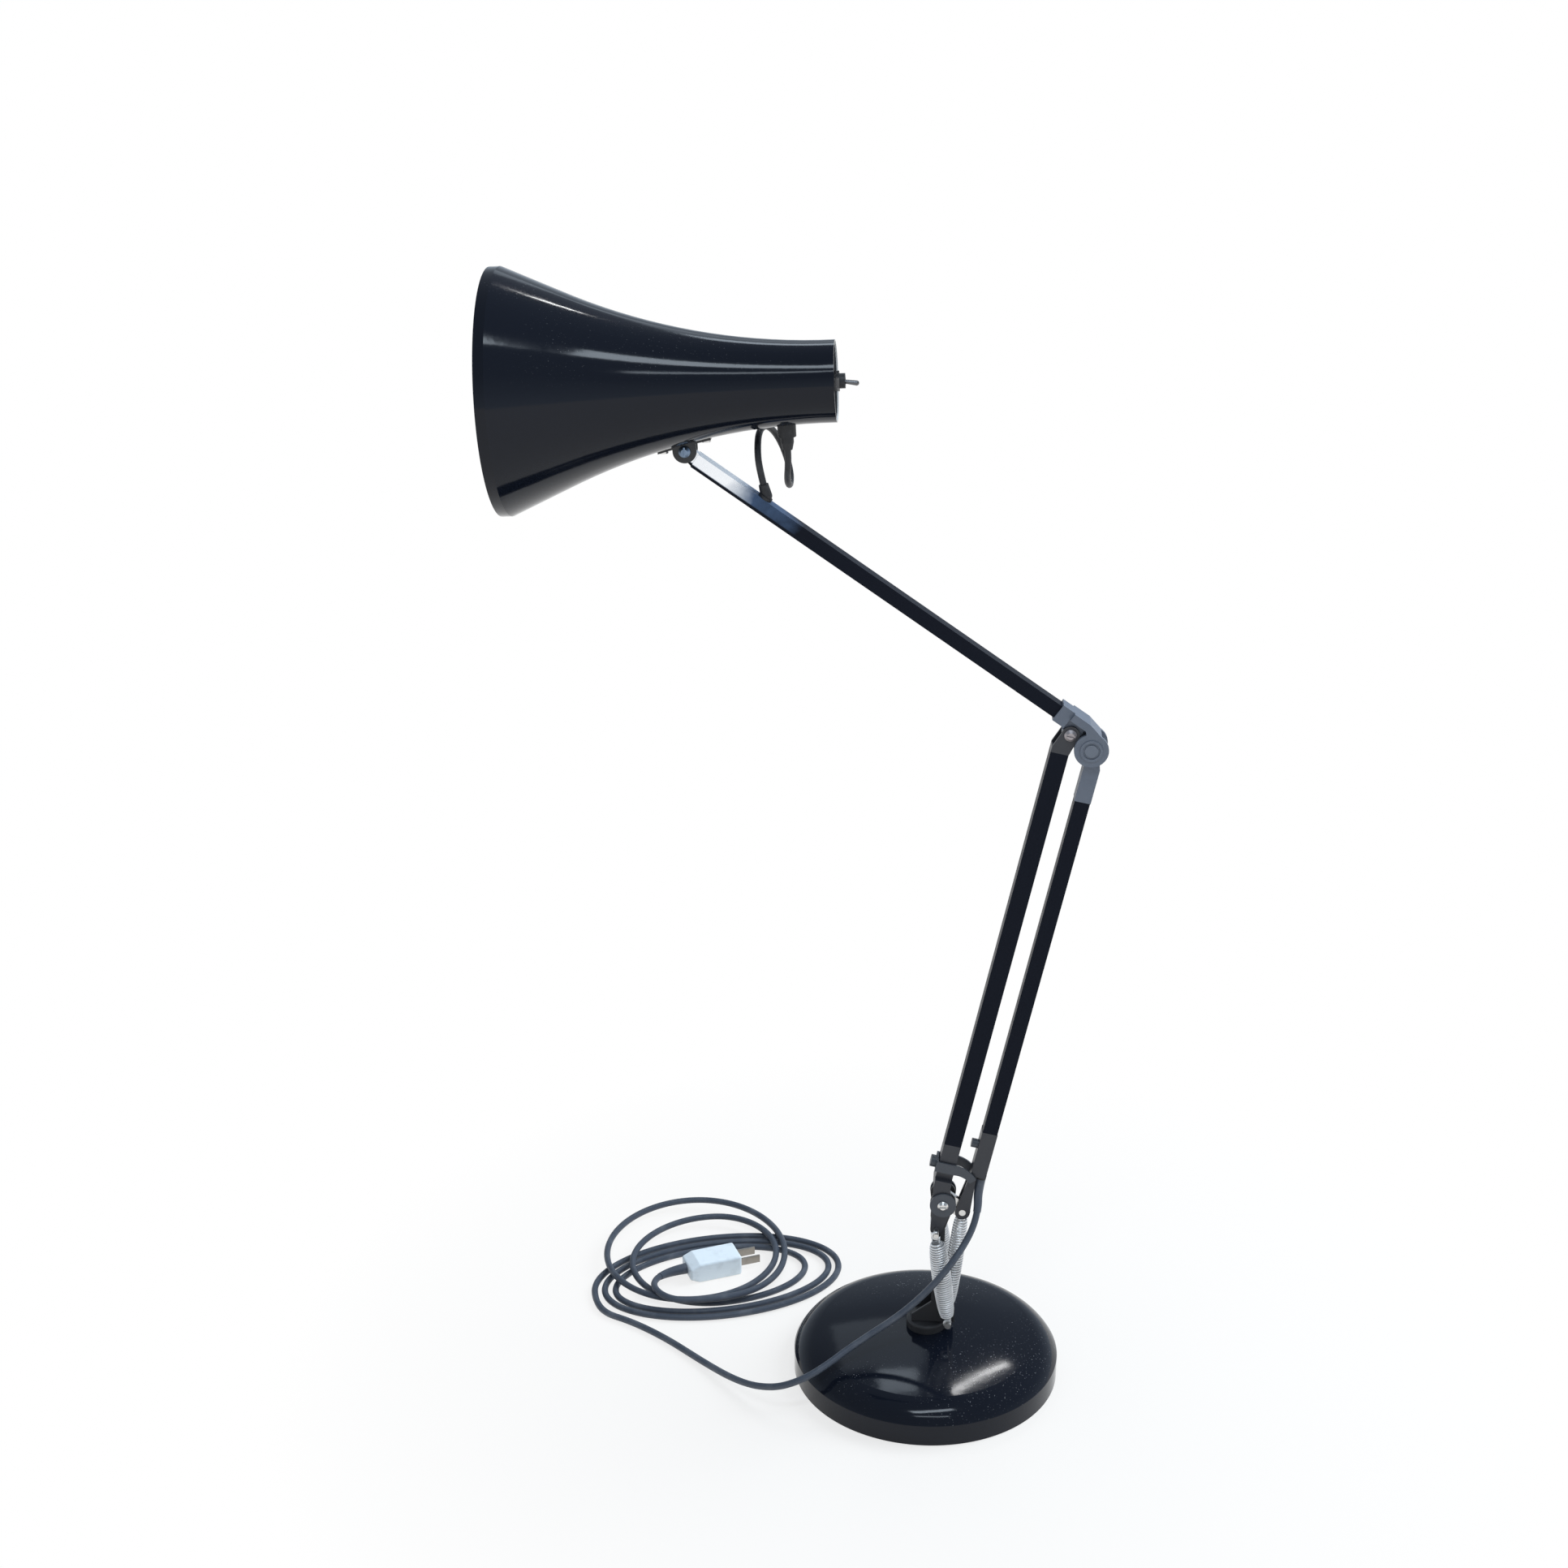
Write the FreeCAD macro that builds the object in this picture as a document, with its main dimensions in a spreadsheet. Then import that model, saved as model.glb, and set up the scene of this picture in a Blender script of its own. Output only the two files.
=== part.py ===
"""Spring-balanced desk lamp: round base, swivel bracket, twin-bar lower arm, single upper arm, flared shade.

Millimetres, +Z up, origin at the centre of the base's underside. The arms lie in the plane Y = 0.
"""
import FreeCAD, Part
import Sketcher
import math
import os

doc = FreeCAD.newDocument("desk_lamp")
sheet = doc.addObject("Spreadsheet::Sheet", "Sizes")
V = FreeCAD.Vector
Y_AXIS = V(0, 1, 0)

DIMENSIONS = {
    # base
    "base_radius": 100.5, "rim_height": 17.0, "rim_round": 0.8, "shoulder_inset": 18.0,
    "shoulder_height": 30.2, "shoulder_radius": 26.3, "dome_height": 38.0, "dome_radius": 423.0,
    "cover_wall": 1.5, "weight_gap": 0.5, "pad_thick": 2.0, "pad_inset": 3.0, "bush_radius": 15.0,
    "bush_flange": 7.0, "bush_barrel": 9.0, "spindle_radius": 5.0, "running_gap": 0.05, "nut_recess": 14.0,
    "nut_height": 6.0, "nut_width": 16.0, "cover_lift": 0.5, "bush_depth": 14.0, "bush_round": 2.0,
    # fork bracket and main pivot
    "pivot_x": 10.4, "pivot_z": 150.4, "bolt_radius": 3.0, "plate_end_radius": 9.5,
    "plate_foot_width": 22.0, "foot_thick": 5.0, "washer_radius": 9.75, "washer_thick": 1.5,
    "dome_head_radius": 4.0, "dome_head_height": 2.6, "slot_width": 1.2, "slot_depth": 0.9,
    "pivot_nut_width": 10.0, "pivot_nut_height": 5.0, "bolt_tail": 1.0, "anchor_margin": 5.0,
    "waist_x": 12.0, "waist_rise": 6.0, "waist_below_pivot": 22.0, "anchor_overhang": 4.0,
    # side layers of the lower linkage, from the middle outwards
    "crank_thick": 4.0, "side_gap": 0.4, "tongue_thick": 2.5, "plate_thick": 2.5, "cheek_thick": 2.5,
    # linkage
    "main_length": 383.0, "main_lean": 11.85, "link_length": 17.8, "upper_rise": 34.8,
    "upper_length": 328.0, "knuckle_rise": 9.5, "bar_offset": 4.0, "crank_end_radius": 6.0,
    "crank_pin_radius": 2.5, "crank_hub_inset": 1.0,
    # main arm
    "main_tube_width": 12.7, "main_tube_wall": 1.4, "foot_length": 48.0, "socket_depth": 18.0,
    "socket_gap": 0.05, "lever_length": 22.0, "lever_radius": 4.5, "cheek_radius": 8.0, "throat": 13.0,
    "bridge_thick": 6.0, "top_shoulder": 15.0, "top_floor": 4.0, "top_cheek_wall": 1.6,
    "top_end_radius": 6.3, "screw_head_radius": 4.3, "spring_pin_radius": 2.0, "spring_pin_length": 10.0,
    "guide_height": 29.0, "guide_width": 8.0, "guide_thick": 1.5, "guide_reach": 17.0, "guide_bend": 15.0,
    "guide_drop": 4.0, "clamp_radius": 4.5, "clamp_height": 4.0, "clamp_shank": 2.5,
    # control rod
    "rod_tube_width": 11.0, "rod_tube_wall": 1.2, "rod_foot_start": 33.0, "rod_foot_end": 71.0,
    "rod_foot_width": 11.6, "rod_sleeve_length": 40.0, "rod_sleeve_start": 14.0, "tongue_end_radius": 5.5,
    "tongue_neck": 1.0, "grip_radius": 3.4, "grip_length": 5.0, "grip_height": 58.0, "grip_shank": 2.0,
    "cord_exit_offset": 3.2, "cord_way_depth": 16.0, "bush_lip": 3.0, "lip_wall": 1.0,
    # elbow housing and upper arm
    "lug_half": 4.4, "lug_radius": 6.0, "boss_radius": 12.0, "fork_inner": 6.9, "fork_thick": 2.6,
    "fork_heel": 1.0, "ring_outer": 7.8, "ring_inner": 6.0, "ring_height": 0.8, "pin_cap_radius": 4.5,
    "tail_pin_radius": 3.0, "elbow_screw_radius": 2.5, "upper_axis_rise": 8.2, "upper_tube_width": 10.0,
    "upper_tube_wall": 1.2, "housing_wall": 1.6, "housing_socket_end": 17.0, "housing_floor": 9.0,
    "bridge_low": 9.2, "knuckle_radius": 4.2, "knuckle_half": 2.8, "knuckle_setback": 12.0,
    "knuckle_collar": 3.0, "grommet_radius": 5.0, "grommet_rim": 2.0, "grommet_from_knuckle": 62.0,
    "stem_radius": 4.0, "stem_length": 8.1, "stem_run": 12.15, "stem_tilt": 48.7,
    # head
    "head_pitch": 2.85, "tilt_from_mouth": 122.9, "ear_thick": 2.0, "ear_gap": 0.3, "ear_radius": 8.0,
    "saddle_length": 36.0, "saddle_thick": 1.6, "saddle_gap": 0.05, "tilt_bolt_radius": 2.2,
    "rivet_radius": 1.8, "rivet_head_radius": 3.2, "rivet_head": 1.6, "rivet_spread": 14.5,
    "rivet_shank": 0.4, "rivet_seat": 1.05, "shade_length": 225.6, "mouth_radius": 82.2,
    "rear_radius": 27.1, "lip_length": 7.0, "cone_end": 45.0, "cone_end_radius": 65.2,
    "flare_radius": 420.0, "shade_wall": 1.2, "cap_depth": 10.0, "cap_wall": 2.0, "cap_set_back": 1.0,
    "cap_fit": 0.05, "holder_radius": 17.0, "holder_length": 52.0, "bulb_radius": 30.0,
    "bulb_neck_radius": 13.0, "bulb_set_in": 8.0, "bulb_centre": 92.0, "gland_from_rear": 34.2,
    "gland_radius": 4.4, "gland_length": 17.0, "gland_flange": 6.2, "gland_collar": 8.0, "gland_sink": 2.5,
    "gland_run": 9.0, "switch_barrel_radius": 5.0, "switch_barrel_length": 9.0, "switch_nut_width": 10.0,
    "switch_nut_height": 3.2, "switch_body_width": 16.0, "switch_body_depth": 14.0, "switch_recess": 10.0,
    "lever_rod_radius": 1.7, "lever_rod_length": 11.5, "lever_root_radius": 1.2, "lever_hole_gap": 1.3,
    "switch_well": 6.0, "lever_seat": 2.0, "lever_rest": 9.0, "holder_gap": 0.4, "holder_flange": 2.5,
    "tilt_nut": 4.0, "tilt_nut_width": 7.0, "gland_taper": 5.0,
    # balance springs
    "spring_wire": 2.0, "spring_coil_radius": 6.8, "centre_coil_radius": 5.4, "spring_turns": 21.0,
    "spring_taper_turns": 3.0, "centre_taper_turns": 6.0, "spring_end_radius": 2.6, "anchor_x": 16.5,
    "anchor_z": 52.0, "anchor_radius": 2.5,
    # leads
    "coil_run_in": 20.0, "cord_diameter": 5.2, "lead_diameter": 4.6, "floor_gap": 0.1,
    # plug
    "plug_length": 44.0, "plug_width": 24.0, "plug_height": 17.4, "plug_round": 2.2, "plug_nose": 8.0,
    "nose_height": 10.0, "plug_lead_in": 8.0, "pin_length": 17.0, "pin_width": 6.3, "pin_thick": 1.6,
    "pin_spread": 12.7,
}
FIRST_ROW = 1


class Size:
    """A number together with the spreadsheet expression that gives it."""

    def __init__(self, number, text):
        self.number = number
        self.text = text

    def __float__(self):
        return float(self.number)

    def _join(self, other, sign, number):
        return Size(number, "(%s %s %s)" % (self.text, sign, as_size(other).text))

    def __add__(self, other):
        return self._join(other, "+", self.number + float(other))

    def __sub__(self, other):
        return self._join(other, "-", self.number - float(other))

    def __mul__(self, other):
        return self._join(other, "*", self.number * float(other))

    def __truediv__(self, other):
        return self._join(other, "/", self.number / float(other))

    def __radd__(self, other):
        return as_size(other) + self

    def __rsub__(self, other):
        return as_size(other) - self

    def __rmul__(self, other):
        return as_size(other) * self

    def __neg__(self):
        return Size(-self.number, "(-%s)" % self.text)


def as_size(value):
    return value if isinstance(value, Size) else Size(float(value), repr(float(value)))


class Sizes:
    """Named sizes, read back from the spreadsheet."""

    def __getattr__(self, alias):
        return Size(float(sheet.get(alias)), "Sizes." + alias)


def fill_sheet():
    for row, (alias, number) in enumerate(DIMENSIONS.items(), FIRST_ROW):
        sheet.set("A%d" % row, alias)
        sheet.set("B%d" % row, str(number))
        sheet.setAlias("B%d" % row, alias)
    doc.recompute()


fill_sheet()
S = Sizes()
nodes = []


def bind(obj, prop, size):
    setattr(obj, prop, float(size))
    obj.setExpression(prop, as_size(size).text)


TURNS = {"z": FreeCAD.Rotation(), "y": FreeCAD.Rotation(V(1, 0, 0), -90), "x": FreeCAD.Rotation(Y_AXIS, 90)}


def place(obj, at, axis="z"):
    obj.Placement = FreeCAD.Placement(V(*[float(c) for c in at]), TURNS[axis])
    for letter, size in zip("xyz", at):
        obj.setExpression("Placement.Base." + letter, as_size(size).text)


def cylinder(name, radius, height, at=(0, 0, 0), axis="z"):
    obj = doc.addObject("Part::Cylinder", name)
    bind(obj, "Radius", radius)
    bind(obj, "Height", height)
    place(obj, at, axis)
    return obj


def cross_pin(name, radius, half, at):
    """A cylinder along Y, centred on the arm plane."""
    x, z = at
    return cylinder(name, radius, 2 * half, (x, -half, z), "y")


def cone(name, radius_1, radius_2, height, at=(0, 0, 0), axis="z"):
    obj = doc.addObject("Part::Cone", name)
    bind(obj, "Radius1", radius_1)
    bind(obj, "Radius2", radius_2)
    bind(obj, "Height", height)
    place(obj, at, axis)
    return obj


def ball(name, radius, at):
    obj = doc.addObject("Part::Sphere", name)
    bind(obj, "Radius", radius)
    place(obj, at, "z")
    return obj


def hexagon(name, width, height, at=(0, 0, 0), axis="z"):
    obj = doc.addObject("Part::Prism", name)
    obj.Polygon = 6
    bind(obj, "Circumradius", width / math.sqrt(3))
    bind(obj, "Height", height)
    place(obj, at, axis)
    return obj


def block(name, x, y, z):
    """A box between two limits on each axis."""
    obj = doc.addObject("Part::Box", name)
    for prop, (low, high) in zip(("Length", "Width", "Height"), (x, y, z)):
        bind(obj, prop, as_size(high) - low)
    place(obj, (x[0], y[0], z[0]))
    return obj


def fuse(name, pieces):
    obj = doc.addObject("Part::MultiFuse", name)
    obj.Shapes = pieces
    obj.Refine = True
    return obj


def common(name, pieces):
    obj = doc.addObject("Part::MultiCommon", name)
    obj.Shapes = pieces
    return obj


def cut(name, base, tools):
    obj = doc.addObject("Part::Cut", name)
    obj.Base = base
    obj.Tool = tools[0] if len(tools) == 1 else fuse(name + "_tools", tools)
    obj.Refine = True
    return obj


def origin_plane(body, role):
    return next(f for f in body.Origin.OriginFeatures if f.Role == role)


def arc_middle(start, end, radius, side):
    """Middle point of the arc of that radius, bulging to one side of its chord."""
    chord = end - start
    half = chord.Length / 2
    rise = radius - math.sqrt(radius ** 2 - half ** 2)
    return (start + end) / 2 + V(-chord.y, chord.x, 0).normalize() * rise * side


def outline(body, role, points, name):
    """A closed sketch. A point is (x, y), or (x, y, radius, side) where an arc runs on to the next point."""
    sketch = body.newObject("Sketcher::SketchObject", name)
    sketch.AttachmentSupport = [(origin_plane(body, role), "")]
    sketch.MapMode = "FlatFace"
    count = len(points)
    spots = [V(float(p[0]), float(p[1]), 0) for p in points]
    for i, point in enumerate(points):
        start, end = spots[i], spots[(i + 1) % count]
        if len(point) == 2:
            sketch.addGeometry(Part.LineSegment(start, end), False)
        else:
            middle = arc_middle(start, end, float(point[2]), point[3])
            sketch.addGeometry(Part.ArcOfCircle(start, middle, end), False)
    ends = []
    for i in range(count):
        near_start = (sketch.getPoint(i, 1) - spots[i]).Length < 1e-6
        ends.append((1, 2) if near_start else (2, 1))
    for i in range(count):
        after = (i + 1) % count
        sketch.addConstraint(Sketcher.Constraint("Coincident", i, ends[i][1], after, ends[after][0]))
    for i, point in enumerate(points):
        for kind, size in (("DistanceX", point[0]), ("DistanceY", point[1])):
            index = sketch.addConstraint(Sketcher.Constraint(kind, -1, 1, i, ends[i][0], float(size)))
            sketch.setExpression("Constraints[%d]" % index, as_size(size).text)
        if len(point) > 2:
            index = sketch.addConstraint(Sketcher.Constraint("Radius", i, float(point[2])))
            sketch.setExpression("Constraints[%d]" % index, as_size(point[2]).text)
    return sketch


def turned(name, points):
    """A body turned about Z from an outline of (radius, height) points."""
    body = doc.addObject("PartDesign::Body", name)
    sketch = outline(body, "XZ_Plane", points, name + "_outline")
    doc.recompute()
    feature = body.newObject("PartDesign::Revolution", name + "_turn")
    feature.Profile = sketch
    feature.ReferenceAxis = (sketch, ["V_Axis"])
    feature.Angle = 360
    doc.recompute()
    return body


def plate(name, points, thick, middle=0.0):
    """A body padded along Y from an outline of (x, z) points, centred on Y = middle."""
    body = doc.addObject("PartDesign::Body", name)
    sketch = outline(body, "XZ_Plane", points, name + "_outline")
    doc.recompute()
    pad = body.newObject("PartDesign::Pad", name + "_pad")
    pad.Profile = sketch
    pad.SideType = "Symmetric"
    bind(pad, "Length", thick)
    doc.recompute()
    body.Placement = FreeCAD.Placement(V(0, float(middle), 0), FreeCAD.Rotation())
    body.setExpression("Placement.Base.y", as_size(middle).text)
    return body


def node(obj, label, frame=None):
    """Name a finished sub-part and set it in its frame."""
    obj.Label = label
    if frame is not None:
        obj.Placement = frame
    nodes.append(obj)
    return obj


def solid(label, shape, frame=None):
    obj = doc.addObject("Part::Feature", label + "_form")
    obj.Shape = shape
    return node(obj, label, frame)


def turn_about_y(degrees):
    return FreeCAD.Rotation(Y_AXIS, degrees)


def along(frame, x, z, y=0.0):
    return frame.multVec(V(float(x), float(y), float(z)))


MAIN = V(float(S.pivot_x), 0, float(S.pivot_z))
ARM = FreeCAD.Placement(MAIN, turn_about_y(float(S.main_lean)))
UPPER_TURN = turn_about_y(float(S.upper_rise) - 90)
ELBOW = along(ARM, 0, S.main_length)
UPPER = FreeCAD.Placement(ELBOW, UPPER_TURN)
CRANK = FreeCAD.Placement(MAIN, UPPER_TURN)
ROD = FreeCAD.Placement(along(CRANK, 0, -S.link_length), ARM.Rotation)
KNUCKLE = along(UPPER, S.knuckle_rise, S.upper_length)
HEAD_TURN = turn_about_y(90 - float(S.head_pitch))


def shade_radius(height, grow=0.0):
    """Outer radius of the flared stretch at that distance from the mouth, moved outwards by an amount."""
    front = V(float(S.cone_end_radius), float(S.cone_end), 0)
    rear = V(float(S.rear_radius), float(S.shade_length), 0)
    radius = float(S.flare_radius)
    middle = arc_middle(front, rear, radius, 1)
    centre = middle + ((front + rear) / 2 - middle).normalize() * radius
    reach = math.sqrt((radius - float(grow)) ** 2 - (float(height) - centre.y) ** 2)
    return as_size(centre.x - reach)


TILT_DROP = shade_radius(S.tilt_from_mouth, S.ear_gap + S.knuckle_radius)
MOUTH = KNUCKLE - HEAD_TURN.multVec(V(float(TILT_DROP), 0, float(S.tilt_from_mouth)))
HEAD = FreeCAD.Placement(MOUTH, HEAD_TURN)

# side layers of the lower linkage
TONGUE_IN = S.crank_thick / 2 + S.side_gap
TONGUE_OUT = TONGUE_IN + S.tongue_thick
PLATE_IN = TONGUE_OUT + S.side_gap
PLATE_OUT = PLATE_IN + S.plate_thick
CHEEK_IN = PLATE_OUT + S.side_gap
CHEEK_OUT = CHEEK_IN + S.cheek_thick
WASHER_IN = CHEEK_OUT + S.side_gap / 2
WASHER_OUT = WASHER_IN + S.washer_thick
BORE = S.bolt_radius + S.running_gap
SPRING_SIDE = CHEEK_OUT + S.spring_coil_radius + S.spring_wire


def circle_edges(shape, radius, height):
    """Names of the round edges of that radius at that height."""
    names = []
    for number, edge in enumerate(shape.Edges, 1):
        round_edge = hasattr(edge.Curve, "Radius") and hasattr(edge.Curve, "Center")
        if round_edge and abs(edge.Curve.Radius - radius) < 0.01 and abs(edge.Curve.Center.z - height) < 0.01:
            names.append("Edge%d" % number)
    return names


def rounded(body, radius, height, fillet, name):
    """Fillet the round edge of that radius and height on a turned body."""
    base = body.Tip
    edges = circle_edges(base.Shape, float(radius), float(height))
    feature = body.newObject("PartDesign::Fillet", name)
    feature.Base = (base, edges)
    bind(feature, "Radius", fillet)
    doc.recompute()


BASE_TOP = S.dome_height + S.bush_flange
FOOT_LOW = BASE_TOP + S.side_gap / 2
FOOT_HIGH = FOOT_LOW + S.foot_thick
BARREL_LOW = S.dome_height - S.bush_depth


def base_parts():
    hole = S.bush_barrel + S.running_gap
    inner = S.base_radius - S.cover_wall
    shoulder = S.base_radius - S.shoulder_inset
    cover = turned("cover", [
        (S.base_radius, S.cover_lift), (S.base_radius, S.rim_height, S.shoulder_radius, -1),
        (shoulder, S.shoulder_height, S.dome_radius, -1), (hole, S.dome_height),
        (hole, S.dome_height - S.cover_wall, S.dome_radius - S.cover_wall, 1),
        (shoulder, S.shoulder_height - S.cover_wall, S.shoulder_radius - S.cover_wall, 1),
        (inner, S.rim_height - S.cover_wall / 2), (inner, S.cover_lift)])
    rounded(cover, S.base_radius, S.rim_height, S.rim_round, "rim_edge")
    node(cover, "base_cover")
    outer = inner - S.weight_gap
    under = S.cover_wall + S.weight_gap
    recess_top = BARREL_LOW + S.weight_gap
    weight = turned("weight", [
        (S.nut_recess, S.pad_thick), (outer, S.pad_thick), (outer, S.rim_height - under),
        (shoulder - under, S.shoulder_height - under, S.dome_radius - under, -1),
        (hole + S.weight_gap, S.dome_height - under), (hole + S.weight_gap, recess_top),
        (S.nut_recess, recess_top)])
    node(weight, "base_weight")
    node(cylinder("pad", S.base_radius - S.pad_inset, S.pad_thick), "base_pad")
    bore = S.spindle_radius + S.running_gap
    bush = turned("bush", [
        (bore, BARREL_LOW), (S.bush_barrel, BARREL_LOW), (S.bush_barrel, S.dome_height),
        (S.bush_radius, S.dome_height), (S.bush_radius, BASE_TOP), (bore, BASE_TOP)])
    rounded(bush, S.bush_radius, BASE_TOP, S.bush_round, "bush_round")
    node(bush, "swivel_bush")


def swivel_parts():
    washer_high = BARREL_LOW - S.side_gap / 2
    washer_low = washer_high - S.washer_thick
    nut_low = washer_low - S.nut_height
    spindle_low = nut_low - S.side_gap
    spindle = cylinder("spindle", S.spindle_radius, FOOT_HIGH - spindle_low, (0, 0, spindle_low))
    node(spindle, "swivel_spindle")
    bore = S.spindle_radius + S.running_gap
    height = washer_high - nut_low
    nut = fuse("nut_blank", [
        hexagon("nut_hex", S.nut_width, S.nut_height, (0, 0, nut_low)),
        cylinder("nut_washer", S.bush_barrel, S.washer_thick, (0, 0, washer_low))])
    node(cut("nut", nut, [cylinder("nut_bore", bore, height, (0, 0, nut_low))]), "spindle_nut")
    fork_bracket(bore)
    pivot_hardware()


def fork_bracket(bore):
    left, right = -S.plate_foot_width / 2, S.anchor_x + S.anchor_margin
    shoulder = S.anchor_z + S.anchor_margin
    middle = (PLATE_IN + PLATE_OUT) / 2
    end = S.plate_end_radius
    pieces = [block("foot", (left, right), (-PLATE_OUT, PLATE_OUT), (FOOT_LOW, FOOT_HIGH))]
    for side, sign in (("front", -1), ("rear", 1)):
        pieces.append(plate("fork_" + side, [
            (left, FOOT_LOW), (right, FOOT_LOW), (right, shoulder), (S.waist_x, shoulder + S.waist_rise),
            (S.waist_x, S.pivot_z - S.waist_below_pivot), (S.pivot_x + end, S.pivot_z),
            (S.pivot_x - end, S.pivot_z)], S.plate_thick, sign * middle))
        low = PLATE_IN if sign > 0 else -PLATE_OUT
        pieces.append(cylinder("fork_end_" + side, end, S.plate_thick, (S.pivot_x, low, S.pivot_z), "y"))
    tools = [cross_pin("fork_bore", BORE, CHEEK_OUT, (S.pivot_x, S.pivot_z)),
             cross_pin("anchor_bore", S.anchor_radius + S.running_gap, CHEEK_OUT, (S.anchor_x, S.anchor_z)),
             cylinder("spindle_bore", bore, S.foot_thick, (0, 0, FOOT_LOW))]
    node(cut("bracket", fuse("fork_blank", pieces), tools), "fork_bracket")


# radius of a screw head's flat crown, as a share of its rim's
CROWN_SHARE = 0.55


def dome_head(name, radius, height, at):
    """A domed screw head facing -Y, its seat at the given point."""
    x, y, z = at
    rim = height / 3
    crown = radius * CROWN_SHARE
    blank = fuse(name + "_blank", [
        cylinder(name + "_rim", radius, rim, (x, y - rim, z), "y"),
        cone(name + "_crown", crown, radius, height - rim, (x, y - height, z), "y")])
    half_slot = S.slot_width / 2
    slot = block(name + "_slot", (x - radius, x + radius), (y - height, y - height + S.slot_depth),
                 (z - half_slot, z + half_slot))
    return cut(name, blank, [slot])


def pivot_hardware():
    at = (S.pivot_x, S.pivot_z)
    nut_out = WASHER_OUT + S.pivot_nut_height
    tail = nut_out + S.bolt_tail
    shank = cylinder("bolt_shank", S.bolt_radius, WASHER_OUT + tail, (S.pivot_x, -WASHER_OUT, S.pivot_z), "y")
    head = dome_head("bolt_head", S.dome_head_radius, S.dome_head_height, (S.pivot_x, -WASHER_OUT, S.pivot_z))
    node(fuse("bolt", [shank, head]), "pivot_bolt")
    discs = []
    for side, low in (("front", -WASHER_OUT), ("rear", WASHER_IN)):
        seat = (S.pivot_x, low, S.pivot_z)
        discs.append(cylinder("washer_" + side, S.washer_radius, S.washer_thick, seat, "y"))
    bore = cross_pin("washer_bore", BORE, tail, at)
    node(cut("washers", fuse("washer_pair", discs), [bore]), "pivot_washers")
    nut = hexagon("pivot_hex", S.pivot_nut_width, S.pivot_nut_height, (S.pivot_x, WASHER_OUT, S.pivot_z), "y")
    node(cut("pivot_nut_form", nut, [cross_pin("pivot_nut_bore", BORE, tail, at)]), "pivot_nut")
    reach = SPRING_SIDE + S.anchor_overhang
    anchor = cross_pin("anchor", S.anchor_radius, reach, (S.anchor_x, S.anchor_z))
    node(anchor, "spring_anchor")


def square(name, width, axis_x, z):
    """A square bar about a line parallel to Z."""
    half = width / 2
    return block(name, (axis_x - half, axis_x + half), (-half, half), z)


def tube(name, width, wall, axis_x, z):
    bore = square(name + "_bore", width - 2 * wall, axis_x, z)
    return cut(name, square(name + "_outer", width, axis_x, z), [bore])


def main_arm_parts():
    axis = -S.bar_offset
    width = S.main_tube_width
    half = width / 2
    plug = width - 2 * S.main_tube_wall - 2 * S.socket_gap
    top = S.main_length - S.top_shoulder
    node(tube("main_tube_form", width, S.main_tube_wall, axis, (S.foot_length, top)), "main_tube", ARM)
    arm_foot(axis, half, plug)
    arm_top(axis, half, plug, top)
    guide_parts(axis, half)


def arm_foot(axis, half, plug):
    left, right = axis - half, axis + half
    low_z, high_z = S.throat, S.throat + S.bridge_thick
    end, lever = S.lever_radius, -S.lever_length
    pieces = [square("foot_block", S.main_tube_width, axis, (low_z, S.foot_length)),
              square("foot_plug", plug, axis, (S.foot_length, S.foot_length + S.socket_depth)),
              block("foot_bridge", (left, right), (-CHEEK_OUT, CHEEK_OUT), (low_z, high_z))]
    for side, sign in (("front", -1), ("rear", 1)):
        low = CHEEK_IN if sign > 0 else -CHEEK_OUT
        pieces.append(plate("cheek_" + side, [
            (left, high_z), (left, low_z), (-S.cheek_radius, 0), (-end, lever), (end, lever),
            (S.cheek_radius, 0), (right, low_z), (right, high_z)],
            S.cheek_thick, sign * (CHEEK_IN + CHEEK_OUT) / 2))
        pieces.append(cylinder("cheek_end_" + side, S.cheek_radius, S.cheek_thick, (0, low, 0), "y"))
        pieces.append(cylinder("lever_end_" + side, end, S.cheek_thick, (0, low, lever), "y"))
    tools = [cross_pin("foot_bore", BORE, WASHER_OUT, (0, 0)),
             cross_pin("lever_bore", S.spring_pin_radius + S.running_gap, WASHER_OUT, (0, lever)),
             cylinder("clamp_bore", S.clamp_shank + S.running_gap, half, (left, 0, S.guide_height), "x")]
    node(cut("arm_foot_form", fuse("arm_foot_blank", pieces), tools), "arm_foot", ARM)
    length = S.cheek_thick + S.spring_pin_length
    pins = [cylinder("lever_pin_front", S.spring_pin_radius, length, (0, -CHEEK_IN - length, lever), "y"),
            cylinder("lever_pin_rear", S.spring_pin_radius, length, (0, CHEEK_IN, lever), "y")]
    node(fuse("lever_pins_form", pins), "lever_pins", ARM)


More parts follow.
